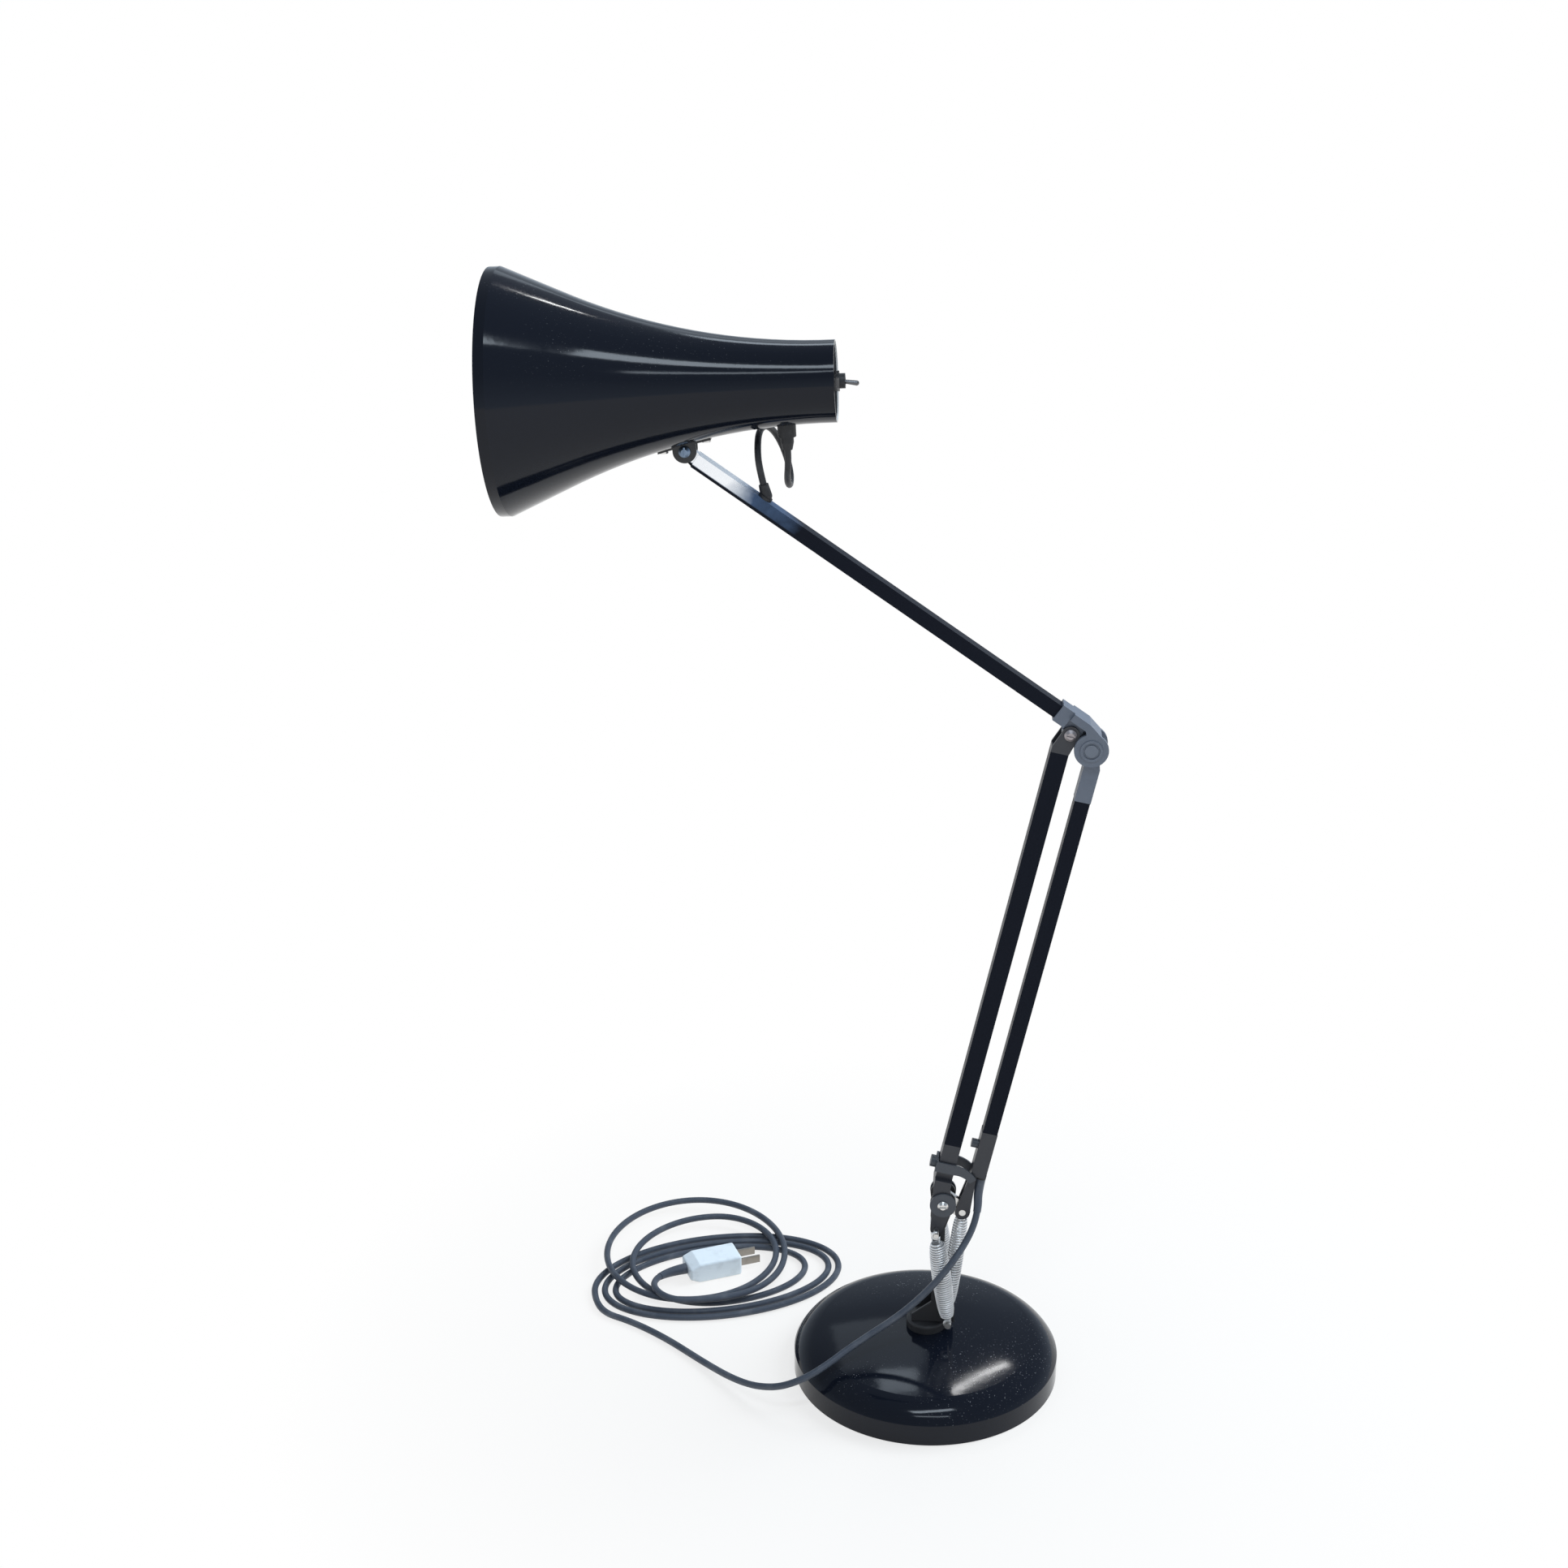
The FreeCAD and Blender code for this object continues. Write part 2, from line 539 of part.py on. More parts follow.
def arm_top(axis, half, plug, top):
    inner = half - S.top_cheek_wall
    end = S.top_end_radius
    left, right = axis - half, axis + half
    pieces = [square("top_plug", plug, axis, (top - S.socket_depth, top)),
              square("top_block", S.main_tube_width, axis, (top, top + S.top_floor))]
    for side, sign in (("front", -1), ("rear", 1)):
        low = inner if sign > 0 else -half
        pieces.append(plate("top_cheek_" + side, [
            (left, top), (right, top), (end, S.main_length), (-end, S.main_length),
            (left, top + S.top_floor)], S.top_cheek_wall, sign * (inner + half) / 2))
        pieces.append(cylinder("top_end_" + side, end, S.top_cheek_wall, (0, low, S.main_length), "y"))
    bore = cross_pin("top_bore", S.elbow_screw_radius + S.running_gap, half, (0, S.main_length))
    node(cut("arm_top_form", fuse("arm_top_blank", pieces), [bore]), "arm_top", ARM)
    shank = cross_pin("screw_shank", S.elbow_screw_radius, half, (0, S.main_length))
    head = dome_head("screw_head", S.screw_head_radius, S.dome_head_height, (0, -half, S.main_length))
    tail = cylinder("screw_tail", S.screw_head_radius, S.dome_head_height, (0, half, S.main_length), "y")
    node(fuse("elbow_screw_form", [shank, head, tail]), "elbow_screw", ARM)


def guide_parts(axis, half):
    inner = half + S.side_gap
    outer = inner + S.guide_thick
    left = axis - outer
    low, high = S.guide_height - S.guide_width / 2, S.guide_height + S.guide_width / 2
    start = axis + half
    tip = start + S.guide_reach
    pieces = [block("guide_back", (left, left + S.guide_thick), (-outer, outer), (low, high))]
    for side, sign in (("front", -1), ("rear", 1)):
        pieces.append(plate("guide_" + side, [
            (left, low), (start, low, S.guide_bend, 1), (tip - S.guide_width / 2, low - S.guide_drop),
            (tip, low, S.guide_bend + S.guide_width, -1), (start, high), (left, high)],
            S.guide_thick, sign * (inner + outer) / 2))
    seat = (left, 0, S.guide_height)
    bore = cylinder("guide_bore", S.clamp_shank + S.running_gap, S.guide_thick, seat, "x")
    node(cut("guide_form", fuse("guide_blank", pieces), [bore]), "guide_arch", ARM)
    head_at = (left - S.clamp_height, 0, S.guide_height)
    head = cylinder("clamp_head", S.clamp_radius, S.clamp_height, head_at, "x")
    length = S.guide_thick + S.side_gap + half - S.bolt_tail
    shank = cylinder("clamp_shank_form", S.clamp_shank, length, seat, "x")
    node(fuse("clamp_form", [head, shank]), "clamp_bolt", ARM)


def crank_parts():
    length = S.link_length
    half = S.crank_thick / 2
    hub = S.cheek_radius - S.crank_hub_inset
    end = S.crank_end_radius
    web = plate("crank_web", [(-hub, 0), (-end, -length), (end, -length), (hub, 0)], S.crank_thick)
    ends = [cross_pin("crank_hub", hub, half, (0, 0)),
            cross_pin("crank_end", end, half, (0, -length))]
    bores = [cross_pin("crank_bore", BORE, half, (0, 0)),
             cross_pin("crank_eye", S.crank_pin_radius + S.running_gap, half, (0, -length))]
    node(cut("crank_form", fuse("crank_blank", [web] + ends), bores), "crank", CRANK)
    pin = cross_pin("crank_pin_form", S.crank_pin_radius, TONGUE_OUT, (0, -length))
    core = cross_pin("crank_pin_core", S.crank_pin_radius / 2, TONGUE_OUT, (0, -length))
    node(fuse("crank_pin_round", [pin, core]), "crank_pin", CRANK)


def control_rod_parts():
    axis = S.bar_offset
    width = S.rod_tube_width
    plug = width - 2 * S.rod_tube_wall - 2 * S.socket_gap
    sleeve_low = S.main_length - S.rod_sleeve_length
    node(tube("rod_tube_form", width, S.rod_tube_wall, axis, (S.rod_foot_end, sleeve_low)), "rod_tube", ROD)
    rod_foot(axis, plug)
    rod_sleeve(axis, plug, sleeve_low)


def rod_foot(axis, plug):
    half = S.rod_foot_width / 2
    end = S.tongue_end_radius
    cord_x = axis + S.cord_exit_offset
    start, neck = S.rod_foot_start, axis - S.tongue_neck
    pieces = [square("rod_foot_block", S.rod_foot_width, axis, (start, S.rod_foot_end)),
              square("rod_foot_plug", plug, axis, (S.rod_foot_end, S.rod_foot_end + S.socket_depth))]
    for side, sign in (("front", -1), ("rear", 1)):
        low = TONGUE_IN if sign > 0 else -TONGUE_OUT
        pieces.append(plate("tongue_" + side, [
            (-end, 0), (end, 0), (neck, start), (neck, start + half), (axis - half, start + half),
            (axis - half, start)],
            S.tongue_thick, sign * (TONGUE_IN + TONGUE_OUT) / 2))
        pieces.append(cylinder("tongue_end_" + side, end, S.tongue_thick, (0, low, 0), "y"))
    bore = S.cord_diameter / 2 + S.running_gap
    grip_at = (axis - half, 0, S.grip_height)
    tools = [cross_pin("tongue_bore", S.crank_pin_radius + S.running_gap, TONGUE_OUT, (0, 0)),
             cylinder("cord_way", bore, S.cord_way_depth, (cord_x, 0, start)),
             cylinder("grip_bore", S.grip_shank + S.running_gap, half, grip_at, "x")]
    node(cut("rod_foot_form", fuse("rod_foot_blank", pieces), tools), "rod_foot", ROD)
    knob_at = (axis - half - S.grip_length, 0, S.grip_height)
    knob = cylinder("grip_knob", S.grip_radius, S.grip_length, knob_at, "x")
    shank = cylinder("grip_shank_form", S.grip_shank, half - S.bolt_tail, grip_at, "x")
    node(fuse("grip_form", [knob, shank]), "grip_screw", ROD)
    low = start - S.bush_lip
    lip = cylinder("lip", S.cord_diameter / 2 + S.lip_wall, S.bush_lip, (cord_x, 0, low))
    node(cut("lip_form", lip, [cylinder("lip_bore", bore, S.bush_lip, (cord_x, 0, low))]), "cord_bush", ROD)


def rod_sleeve(axis, plug, low):
    high = S.main_length - S.rod_sleeve_start
    half = S.rod_foot_width / 2
    end = S.tongue_end_radius
    pieces = [square("sleeve_plug", plug, axis, (low - S.socket_depth, low)),
              square("sleeve_block", S.rod_foot_width, axis, (low, high)),
              plate("sleeve_tongue", [(axis - half, high), (axis + half, high), (end, S.main_length),
                                      (-end, S.main_length)], 2 * half),
              cross_pin("sleeve_end", end, half, (0, S.main_length))]
    bore = cross_pin("sleeve_bore", S.tail_pin_radius + S.running_gap, half, (0, S.main_length))
    node(cut("rod_sleeve_form", fuse("rod_sleeve_blank", pieces), [bore]), "rod_sleeve", ROD)


def stem_frame(seat, at):
    """Frame of the leaning grommet stem within the upper arm's frame, with Z along the stem."""
    foot = V(float(seat + S.grommet_rim), 0, float(at))
    return FreeCAD.Placement(foot, turn_about_y(90 - float(S.stem_tilt)))


def upper_arm_parts():
    axis = S.upper_axis_rise
    length = S.upper_length
    tube_end = length - S.knuckle_setback
    plug = S.upper_tube_width - 2 * S.upper_tube_wall - 2 * S.socket_gap
    node(tube("upper_tube_form", S.upper_tube_width, S.upper_tube_wall, axis, (S.housing_floor, tube_end)),
         "upper_tube", UPPER)
    elbow_housing(axis)
    half = S.upper_tube_width / 2
    collar = tube_end + S.knuckle_collar
    eye = S.knuckle_rise
    pieces = [square("knuckle_plug", plug, axis, (tube_end - S.socket_depth, tube_end)),
              square("knuckle_collar_form", S.upper_tube_width, axis, (tube_end, collar)),
              plate("knuckle_web", [
                  (axis - half, collar), (axis + half, collar), (eye + S.knuckle_radius, length),
                  (eye - S.knuckle_radius, length)], 2 * S.knuckle_half),
              cross_pin("knuckle_eye", S.knuckle_radius, S.knuckle_half, (eye, length))]
    bore = cross_pin("knuckle_bore", S.tilt_bolt_radius + S.running_gap, S.knuckle_half, (eye, length))
    node(cut("knuckle_form", fuse("knuckle_blank", pieces), [bore]), "knuckle_end", UPPER)
    seat = axis + half + S.socket_gap
    at = length - S.grommet_from_knuckle
    rim = cylinder("grommet_rim", S.grommet_radius, S.grommet_rim, (seat, 0, at), "x")
    knob = ball("grommet_ball", S.stem_radius, (seat + S.grommet_rim, 0, at))
    stem = cone("grommet_stem", S.stem_radius, S.lead_diameter / 2 + S.lip_wall, S.stem_length,
                (seat + S.grommet_rim, 0, at))
    stem.Placement = stem_frame(seat, at)
    reach = S.grommet_radius
    below = block("grommet_below", (seat - reach, seat), (-reach, reach), (at - reach, at + reach))
    node(cut("grommet_form", fuse("grommet_solid", [rim, knob, stem]), [below]), "arm_grommet", UPPER)


def elbow_housing(axis):
    half = S.upper_tube_width / 2 + S.housing_wall
    low, high = axis - half, axis + half
    back = -S.link_length
    start, end = S.housing_floor - S.housing_wall, S.housing_socket_end
    fork_out = S.fork_inner + S.fork_thick
    pieces = [block("socket", (low, high), (-half, half), (start, end)),
              block("lug_web", (0, high), (-S.lug_half, S.lug_half), (-S.lug_radius, start)),
              cross_pin("lug_eye", S.lug_radius, S.lug_half, (0, 0)),
              plate("bridge", [
                  (S.bridge_low, start), (high, start), (high, -S.lug_radius), (S.boss_radius, back),
                  (S.bridge_low, back)], 2 * fork_out)]
    for side, sign in (("front", -1), ("rear", 1)):
        low_y = S.fork_inner if sign > 0 else -fork_out
        pieces.append(plate("fork_cheek_" + side, [
            (S.bridge_low, start), (high, start), (high, -S.lug_radius), (S.boss_radius, back),
            (-S.fork_heel, back), (S.lug_radius, -S.bridge_low), (S.bridge_low, -S.lug_radius)],
            S.fork_thick, sign * (S.fork_inner + fork_out) / 2))
        pieces.append(cylinder("boss_" + side, S.boss_radius, S.fork_thick, (0, low_y, back), "y"))
        ring_y = fork_out if sign > 0 else -fork_out - S.ring_height
        ring = cylinder("ring_" + side, S.ring_outer, S.ring_height, (0, ring_y, back), "y")
        hole = cylinder("ring_hole_" + side, S.ring_inner, S.ring_height, (0, ring_y, back), "y")
        pieces.append(cut("ring_form_" + side, ring, [hole]))
    tools = [square("socket_bore", S.upper_tube_width + 2 * S.socket_gap, axis, (S.housing_floor, end)),
             cross_pin("lug_bore", S.elbow_screw_radius + S.running_gap, S.lug_half, (0, 0)),
             cross_pin("boss_bore", S.tail_pin_radius + S.running_gap, fork_out, (0, back))]
    node(cut("housing_form", fuse("housing_blank", pieces), tools), "elbow_housing", UPPER)
    caps = []
    for side, cap_y in (("front", -fork_out - S.ring_height), ("rear", fork_out)):
        caps.append(cylinder("pin_cap_" + side, S.pin_cap_radius, S.ring_height, (0, cap_y, back), "y"))
    pin = cross_pin("tail_pin_shank", S.tail_pin_radius, fork_out, (0, back))
    node(fuse("tail_pin_form", [pin] + caps), "tail_pin", UPPER)


def shade_outline(grow):
    """Outer line of the shade from rear to mouth, moved outwards by the given amount."""
    return [(S.rear_radius + grow, S.shade_length, S.flare_radius - grow, -1),
            (S.cone_end_radius + grow, S.cone_end), (S.mouth_radius + grow, S.lip_length),
            (S.mouth_radius + grow, 0)]


def narrowest(front):
    """Least outer radius of the shade between a height and its rear."""
    rear = S.shade_length
    return min([S.rear_radius, shade_radius(front), shade_radius((front + rear) / 2)], key=float)


def shade_parts():
    wall = S.shade_wall
    inner = [(S.mouth_radius - wall, 0), (S.mouth_radius - wall, S.lip_length),
             (S.cone_end_radius - wall, S.cone_end, S.flare_radius + wall, 1),
             (S.rear_radius - wall, S.shade_length)]
    node(turned("shade_form", shade_outline(0) + inner), "shade", HEAD)
    face = S.shade_length - S.cap_set_back
    floor = face - S.cap_wall
    hole = S.switch_barrel_radius + S.running_gap
    skirt = face - S.cap_depth
    cap_radius = narrowest(skirt) - wall - S.cap_fit
    inside = cap_radius - S.cap_wall
    cap = turned("cap_form", [
        (hole, floor), (inside, floor), (inside, skirt), (cap_radius, skirt), (cap_radius, face),
        (hole, face)])
    node(cap, "rear_cap", HEAD)
    switch_parts(face, floor)
    holder_parts(skirt)


def switch_parts(face, floor):
    width = S.switch_body_width / 2
    case = block("switch_case", (-width, width), (-width, width), (floor - S.switch_body_depth, floor))
    tip = floor + S.switch_barrel_length
    barrel = cylinder("switch_barrel", S.switch_barrel_radius, S.switch_barrel_length, (0, 0, floor))
    well_floor = tip - S.switch_well
    well = cylinder("switch_well", S.lever_rod_radius + S.lever_hole_gap, S.switch_well, (0, 0, well_floor))
    node(cut("switch_form", fuse("switch_blank", [case, barrel]), [well]), "switch_body", HEAD)
    nut = hexagon("switch_hex", S.switch_nut_width + 2 * S.lip_wall, S.switch_nut_height, (0, 0, face))
    bore_radius = S.switch_barrel_radius + S.running_gap
    bore = cylinder("switch_nut_bore", bore_radius, S.switch_nut_height, (0, 0, face))
    node(cut("switch_nut_form", nut, [bore]), "switch_nut", HEAD)
    pivot = along(HEAD, 0, well_floor + S.lever_seat)
    frame = FreeCAD.Placement(pivot, turn_about_y(90 - float(S.head_pitch) + float(S.lever_rest)))
    rod = cone("lever_rod", S.lever_root_radius, S.lever_rod_radius, S.lever_rod_length)
    bead = ball("lever_tip", S.lever_rod_radius, (0, 0, S.lever_rod_length))
    pin_reach = S.lever_rod_radius + S.lever_hole_gap / 2
    pivot_pin = cross_pin("lever_pivot", S.lever_root_radius, pin_reach, (0, 0))
    node(fuse("switch_lever_form", [rod, bead, pivot_pin]), "switch_lever", frame)


def holder_parts(skirt):
    back = skirt - S.holder_gap
    front = back - S.holder_length
    flange = narrowest(back - S.holder_flange) - S.shade_wall - S.holder_gap
    hole = S.bulb_neck_radius + S.holder_gap
    cup = front + S.bulb_set_in + S.holder_gap
    room, room_floor = S.switch_body_width, back - S.switch_recess
    step = back - S.holder_flange
    holder = turned("holder_form", [
        (0, cup), (hole, cup), (hole, front), (S.holder_radius, front), (S.holder_radius, step),
        (flange, step), (flange, back), (room, back), (room, room_floor), (0, room_floor)])
    node(holder, "lampholder", HEAD)
    neck_end = front + S.bulb_set_in
    neck = cylinder("bulb_neck", S.bulb_neck_radius, neck_end - S.bulb_centre, (0, 0, S.bulb_centre))
    globe = ball("bulb_globe", S.bulb_radius, (0, 0, S.bulb_centre))
    node(fuse("bulb_form", [globe, neck]), "bulb", HEAD)


def saddle_parts():
    at = S.tilt_from_mouth
    half = S.saddle_length / 2
    ear_in = S.knuckle_half + S.ear_gap
    ear_out = ear_in + S.ear_thick
    front, rear = at - half, at + half
    top = S.rear_radius
    skin = turned("saddle_skin", shade_outline(S.saddle_gap + S.saddle_thick) + [(0, 0), (0, S.shade_length)])
    band = block("saddle_band", (top, S.mouth_radius), (-ear_out, ear_out), (front, rear))
    pieces = [common("saddle_strap", [skin, band])]
    for side, sign in (("front", -1), ("rear", 1)):
        low = ear_in if sign > 0 else -ear_out
        pieces.append(plate("ear_" + side, [
            (top, at - S.ear_radius), (top, at + S.ear_radius), (TILT_DROP, at + S.ear_radius),
            (TILT_DROP, at - S.ear_radius)], S.ear_thick, sign * (ear_in + ear_out) / 2))
        pieces.append(cylinder("ear_end_" + side, S.ear_radius, S.ear_thick, (TILT_DROP, low, at), "y"))
    tools = [turned("saddle_seat", shade_outline(S.saddle_gap) + [(0, 0), (0, S.shade_length)]),
             cross_pin("knuckle_room", S.knuckle_radius + S.ear_gap, ear_in, (TILT_DROP, at)),
             cross_pin("ear_bore", S.tilt_bolt_radius + S.running_gap, ear_out, (TILT_DROP, at))]
    rivets = []
    for side, spot in (("front", at - S.rivet_spread), ("rear", at + S.rivet_spread)):
        surface = shade_radius(spot)
        seat = surface + S.rivet_seat
        tools.append(cylinder("spot_face_" + side, S.rivet_head_radius + S.running_gap, S.saddle_thick * 2,
                              (seat, 0, spot), "x"))
        tools.append(cylinder("rivet_bore_" + side, S.rivet_radius + S.running_gap, S.saddle_thick * 2,
                              (surface - S.saddle_thick, 0, spot), "x"))
        rivets.append(cylinder("rivet_head_" + side, S.rivet_head_radius, S.rivet_head, (seat, 0, spot), "x"))
        rivets.append(cylinder("rivet_shank_" + side, S.rivet_radius, S.rivet_shank,
                               (seat - S.rivet_shank, 0, spot), "x"))
    node(cut("saddle_form", fuse("saddle_blank", pieces), tools), "saddle", HEAD)
    node(fuse("rivets_form", rivets), "saddle_rivets", HEAD)
    shank = cylinder("tilt_shank", S.tilt_bolt_radius, 2 * ear_out + S.tilt_nut + S.bolt_tail,
                     (TILT_DROP, -ear_out, at), "y")
    head = dome_head("tilt_head", S.dome_head_radius, S.dome_head_height, (TILT_DROP, -ear_out, at))
    nut = hexagon("tilt_hex", S.tilt_nut_width, S.tilt_nut, (TILT_DROP, ear_out, at), "y")
    node(fuse("tilt_bolt_form", [shank, head, nut]), "tilt_bolt", HEAD)


def gland_parts():
    at = S.shade_length - S.gland_from_rear
    surface = shade_radius(at)
    stem_end = S.gland_length - S.gland_taper
    body = fuse("gland_blank", [
        cylinder("gland_collar_form", S.gland_flange, S.gland_collar + S.gland_sink,
                 (surface - S.gland_sink, 0, at), "x"),
        cylinder("gland_stem", S.gland_radius, stem_end, (surface, 0, at), "x"),
        cone("gland_tip", S.gland_radius, S.lead_diameter / 2 + S.lip_wall, S.gland_taper,
             (surface + stem_end, 0, at), "x")])
    seat = turned("gland_seat", shade_outline(S.saddle_gap) + [(0, 0), (0, S.shade_length)])
    node(cut("gland_form", body, [seat]), "lead_gland", HEAD)


def arc_edge(start, corner, end):
    """Arc that leaves start towards corner and arrives at end, with equal tangent lengths."""
    half_cosine = (corner - start).normalize().dot((end - start).normalize())
    middle = (start + corner * (2 * half_cosine) + end) / (2 + 2 * half_cosine)
    return Part.Arc(start, middle, end).toShape()


def biarc(start, start_way, end, end_way):
    """Two arcs that join two points with given directions."""
    chord = end - start
    ways = start_way + end_way
    spread = 2 * (1 - start_way.dot(end_way))
    reach = chord.dot(ways)
    square_chord = chord.dot(chord)
    length = (math.sqrt(reach ** 2 + spread * square_chord) - reach) / spread
    corner_1 = start + start_way * length
    corner_2 = end - end_way * length
    joint = (corner_1 + corner_2) / 2
    return [arc_edge(start, corner_1, joint), arc_edge(joint, corner_2, end)]


def wound_path(stations):
    """Edges through (point, direction) stations: a line where they are in line, and else two arcs."""
    edges = []
    for (start, way), (end, end_way) in zip(stations, stations[1:]):
        if (end - start).normalize().dot(way) > 1 - 1e-9:
            edges.append(Part.LineSegment(start, end).toShape())
        else:
            edges += biarc(start, way, end, end_way)
    return edges


def across(way):
    """Two directions square to a direction and to each other."""
    guide = V(0, 0, 1) if abs(way.z) < 0.9 else V(1, 0, 0)
    side = way.cross(guide).normalize()
    return side, way.cross(side).normalize()


def section(at, way, radius, sides):
    """Round section, or a regular one with that many sides, square to the path."""
    if sides == 0:
        return Part.Wire(Part.Circle(at, way, radius).toShape())
    one, two = across(way)
    corners = []
    for k in range(sides + 1):
        turn = 2 * math.pi * (k % sides) / sides
        corners.append(at + one * (radius * math.cos(turn)) + two * (radius * math.sin(turn)))
    return Part.makePolygon(corners)


def tube_on(edges, radius, sides=0):
    path = Part.Wire(edges)
    start = edges[0].valueAt(edges[0].FirstParameter)
    way = edges[0].tangentAt(edges[0].FirstParameter)
    shape = path.makePipeShell([section(start, way, radius, sides)], True, False)
    area = math.pi * radius ** 2 if sides == 0 else sides / 2 * radius ** 2 * math.sin(2 * math.pi / sides)
    return shape, path.Length, shape.Volume / (area * path.Length)


def least_self_gap(edges, diameter, step):
    """Least clear distance between stretches of a path that lie more than a half turn apart along it."""
    path = Part.Wire(edges)
    count = int(path.Length / step)
    spots = path.discretize(Number=count)
    apart = int(4 * diameter / step)
    least = 1e9
    for i in range(0, count):
        for j in range(i + apart, count):
            least = min(least, spots[i].distanceToPoint(spots[j]))
    return least - diameter


SPRING_SIDES = 6
GAP_STEP = 1.5


def spring_stations(length, coil_radius, taper):
    """Stations of a spring that stands on Z, its radius growing from each end over the taper's turns."""
    turns = int(float(S.spring_turns))
    wire = float(S.spring_wire)
    end_radius = float(S.spring_end_radius)
    lead = wire + end_radius
    pitch = (length - 2 * lead) / turns
    up = V(0, 0, 1)
    stations = [(V(end_radius, 0, 0), up), (V(end_radius, 0, wire), up)]
    for k in range(1, 2 * turns):
        turn = k / 2
        share = min(1, turn / taper, (turns - turn) / taper)
        radius = end_radius + (coil_radius - end_radius) * math.sin(share * math.pi / 2)
        angle = 2 * math.pi * turn
        spot = V(radius * math.cos(angle), radius * math.sin(angle), lead + pitch * turn)
        way = V(-math.sin(angle) * radius, math.cos(angle) * radius, pitch / (2 * math.pi)).normalize()
        stations.append((spot, way))
    stations.append((V(end_radius, 0, length - wire), up))
    stations.append((V(end_radius, 0, length), up))
    return stations


def spring(label, low, high, coil_radius, taper):
    way = (high - low).normalize()
    stations = spring_stations((high - low).Length, float(coil_radius), float(taper))
    edges = wound_path(stations)
    shape, length, share = tube_on(edges, float(S.spring_wire) / 2, SPRING_SIDES)
    gap = least_self_gap(edges, float(S.spring_wire), GAP_STEP)
    print("%s wire %.0f mm, volume share %.4f, least gap %.2f mm" % (label, length, share, gap))
    solid(label, shape, FreeCAD.Placement(low, FreeCAD.Rotation(V(0, 0, 1), way)))


def spring_parts():
    anchor = V(float(S.anchor_x), 0, float(S.anchor_z))
    off_anchor = float(S.anchor_radius + S.side_gap)
    off_pin = float(S.spring_pin_radius + S.side_gap)
    side = V(0, float(SPRING_SIDE), 0)
    hook = along(ARM, 0, -S.lever_length)
    for label, shift in (("spring_front", side * -1), ("spring_rear", side)):
        way = (hook - anchor).normalize()
        low, high = anchor + shift + way * off_anchor, hook + shift - way * off_pin
        spring(label, low, high, S.spring_coil_radius, S.spring_taper_turns)
    eye = along(CRANK, 0, -S.link_length)
    way = (eye - anchor).normalize()
    off_eye = float(S.crank_end_radius + S.side_gap)
    low, high = anchor + way * off_anchor, eye - way * off_eye
    spring("spring_centre", low, high, S.centre_coil_radius, S.centre_taper_turns)


# share of the shorter run that a bend takes up
ARC_SHARE = 0.45


def route_edges(points, label, diameter):
    """Straight runs joined by arcs as large as the shorter run allows."""
    edges = []
    start = points[0]
    radii = []
    for before, corner, after in zip(points, points[1:], points[2:]):
        back, on = before - corner, after - corner
        cut_back = ARC_SHARE * min(back.Length, on.Length)
        first = corner + back.normalize() * cut_back
        last = corner + on.normalize() * cut_back
        half_turn = (math.pi - back.getAngle(on)) / 2
        radii.append(cut_back / math.tan(half_turn))
        edges.append(Part.LineSegment(start, first).toShape())
        edges.append(arc_edge(first, corner, last))
        start = last
    edges.append(Part.LineSegment(start, points[-1]).toShape())
    print("%s bend radii in diameters: %s" % (label, " ".join("%.1f" % (r / diameter) for r in radii)))
    return edges


def cord(label, edges, diameter):
    shape, length, share = tube_on(edges, diameter / 2)
    print("%s length %.0f mm, volume share %.4f" % (label, length, share))
    solid(label, shape)


# loops of the lead on the floor: turns wound so far, centre x and y, half width, half depth, tilt of the loop
LOOPS = [(0.0, -168, 106, 105, 62, 18), (2.0, -168, 106, 88.3, 45, 18), (2.85, -169, 108, 63.4, 38, 18),
         (3.4, -190.4, 133.4, 66.7, 61, 0), (4.4, -194.2, 131.8, 74.2, 84.2, 0),
         (4.78, -195, 139, 84.4, 83, 0), (4.87, -192, 80, 27, 27, 0), (5.253, -192, 80, 27, 27, 0)]
# layers of the loops, counted from the one on the floor: turns wound so far, layer
LAYERS = [(0.0, 0), (2.84, 0), (3.05, 1), (4.66, 1), (4.84, 2), (4.98, 2), (5.2, 1), (5.253, 1)]
LOOP_START = 205.0
STATIONS_PER_TURN = 10
TURN_STEP = 1e-4


def between(table, at):
    """Values of a table at a place between its rows."""
    for low, high in zip(table, table[1:]):
        if at <= high[0]:
            share = (at - low[0]) / (high[0] - low[0])
            return [a + (b - a) * share for a, b in zip(low[1:], high[1:])]


def loop_point(turn):
    x, y, wide, deep, tilt = between(LOOPS, turn)
    angle = math.radians(LOOP_START - tilt) - 2 * math.pi * turn
    spot = V(wide * math.cos(angle), deep * math.sin(angle), 0)
    spot = FreeCAD.Rotation(V(0, 0, 1), tilt).multVec(spot)
    low = float(S.cord_diameter / 2 + S.floor_gap)
    layer = float(S.plug_height / 2) - low
    return V(x, y, low + layer * between(LAYERS, turn)[0]) + spot


def loop_stations():
    last = LOOPS[-1][0]
    count = int(round(last * STATIONS_PER_TURN))
    stations = []
    for k in range(count + 1):
        turn = last * k / count
        ahead = loop_point(min(turn + TURN_STEP, last))
        behind = loop_point(max(turn - TURN_STEP, 0))
        stations.append((loop_point(turn), (ahead - behind).normalize()))
    return stations


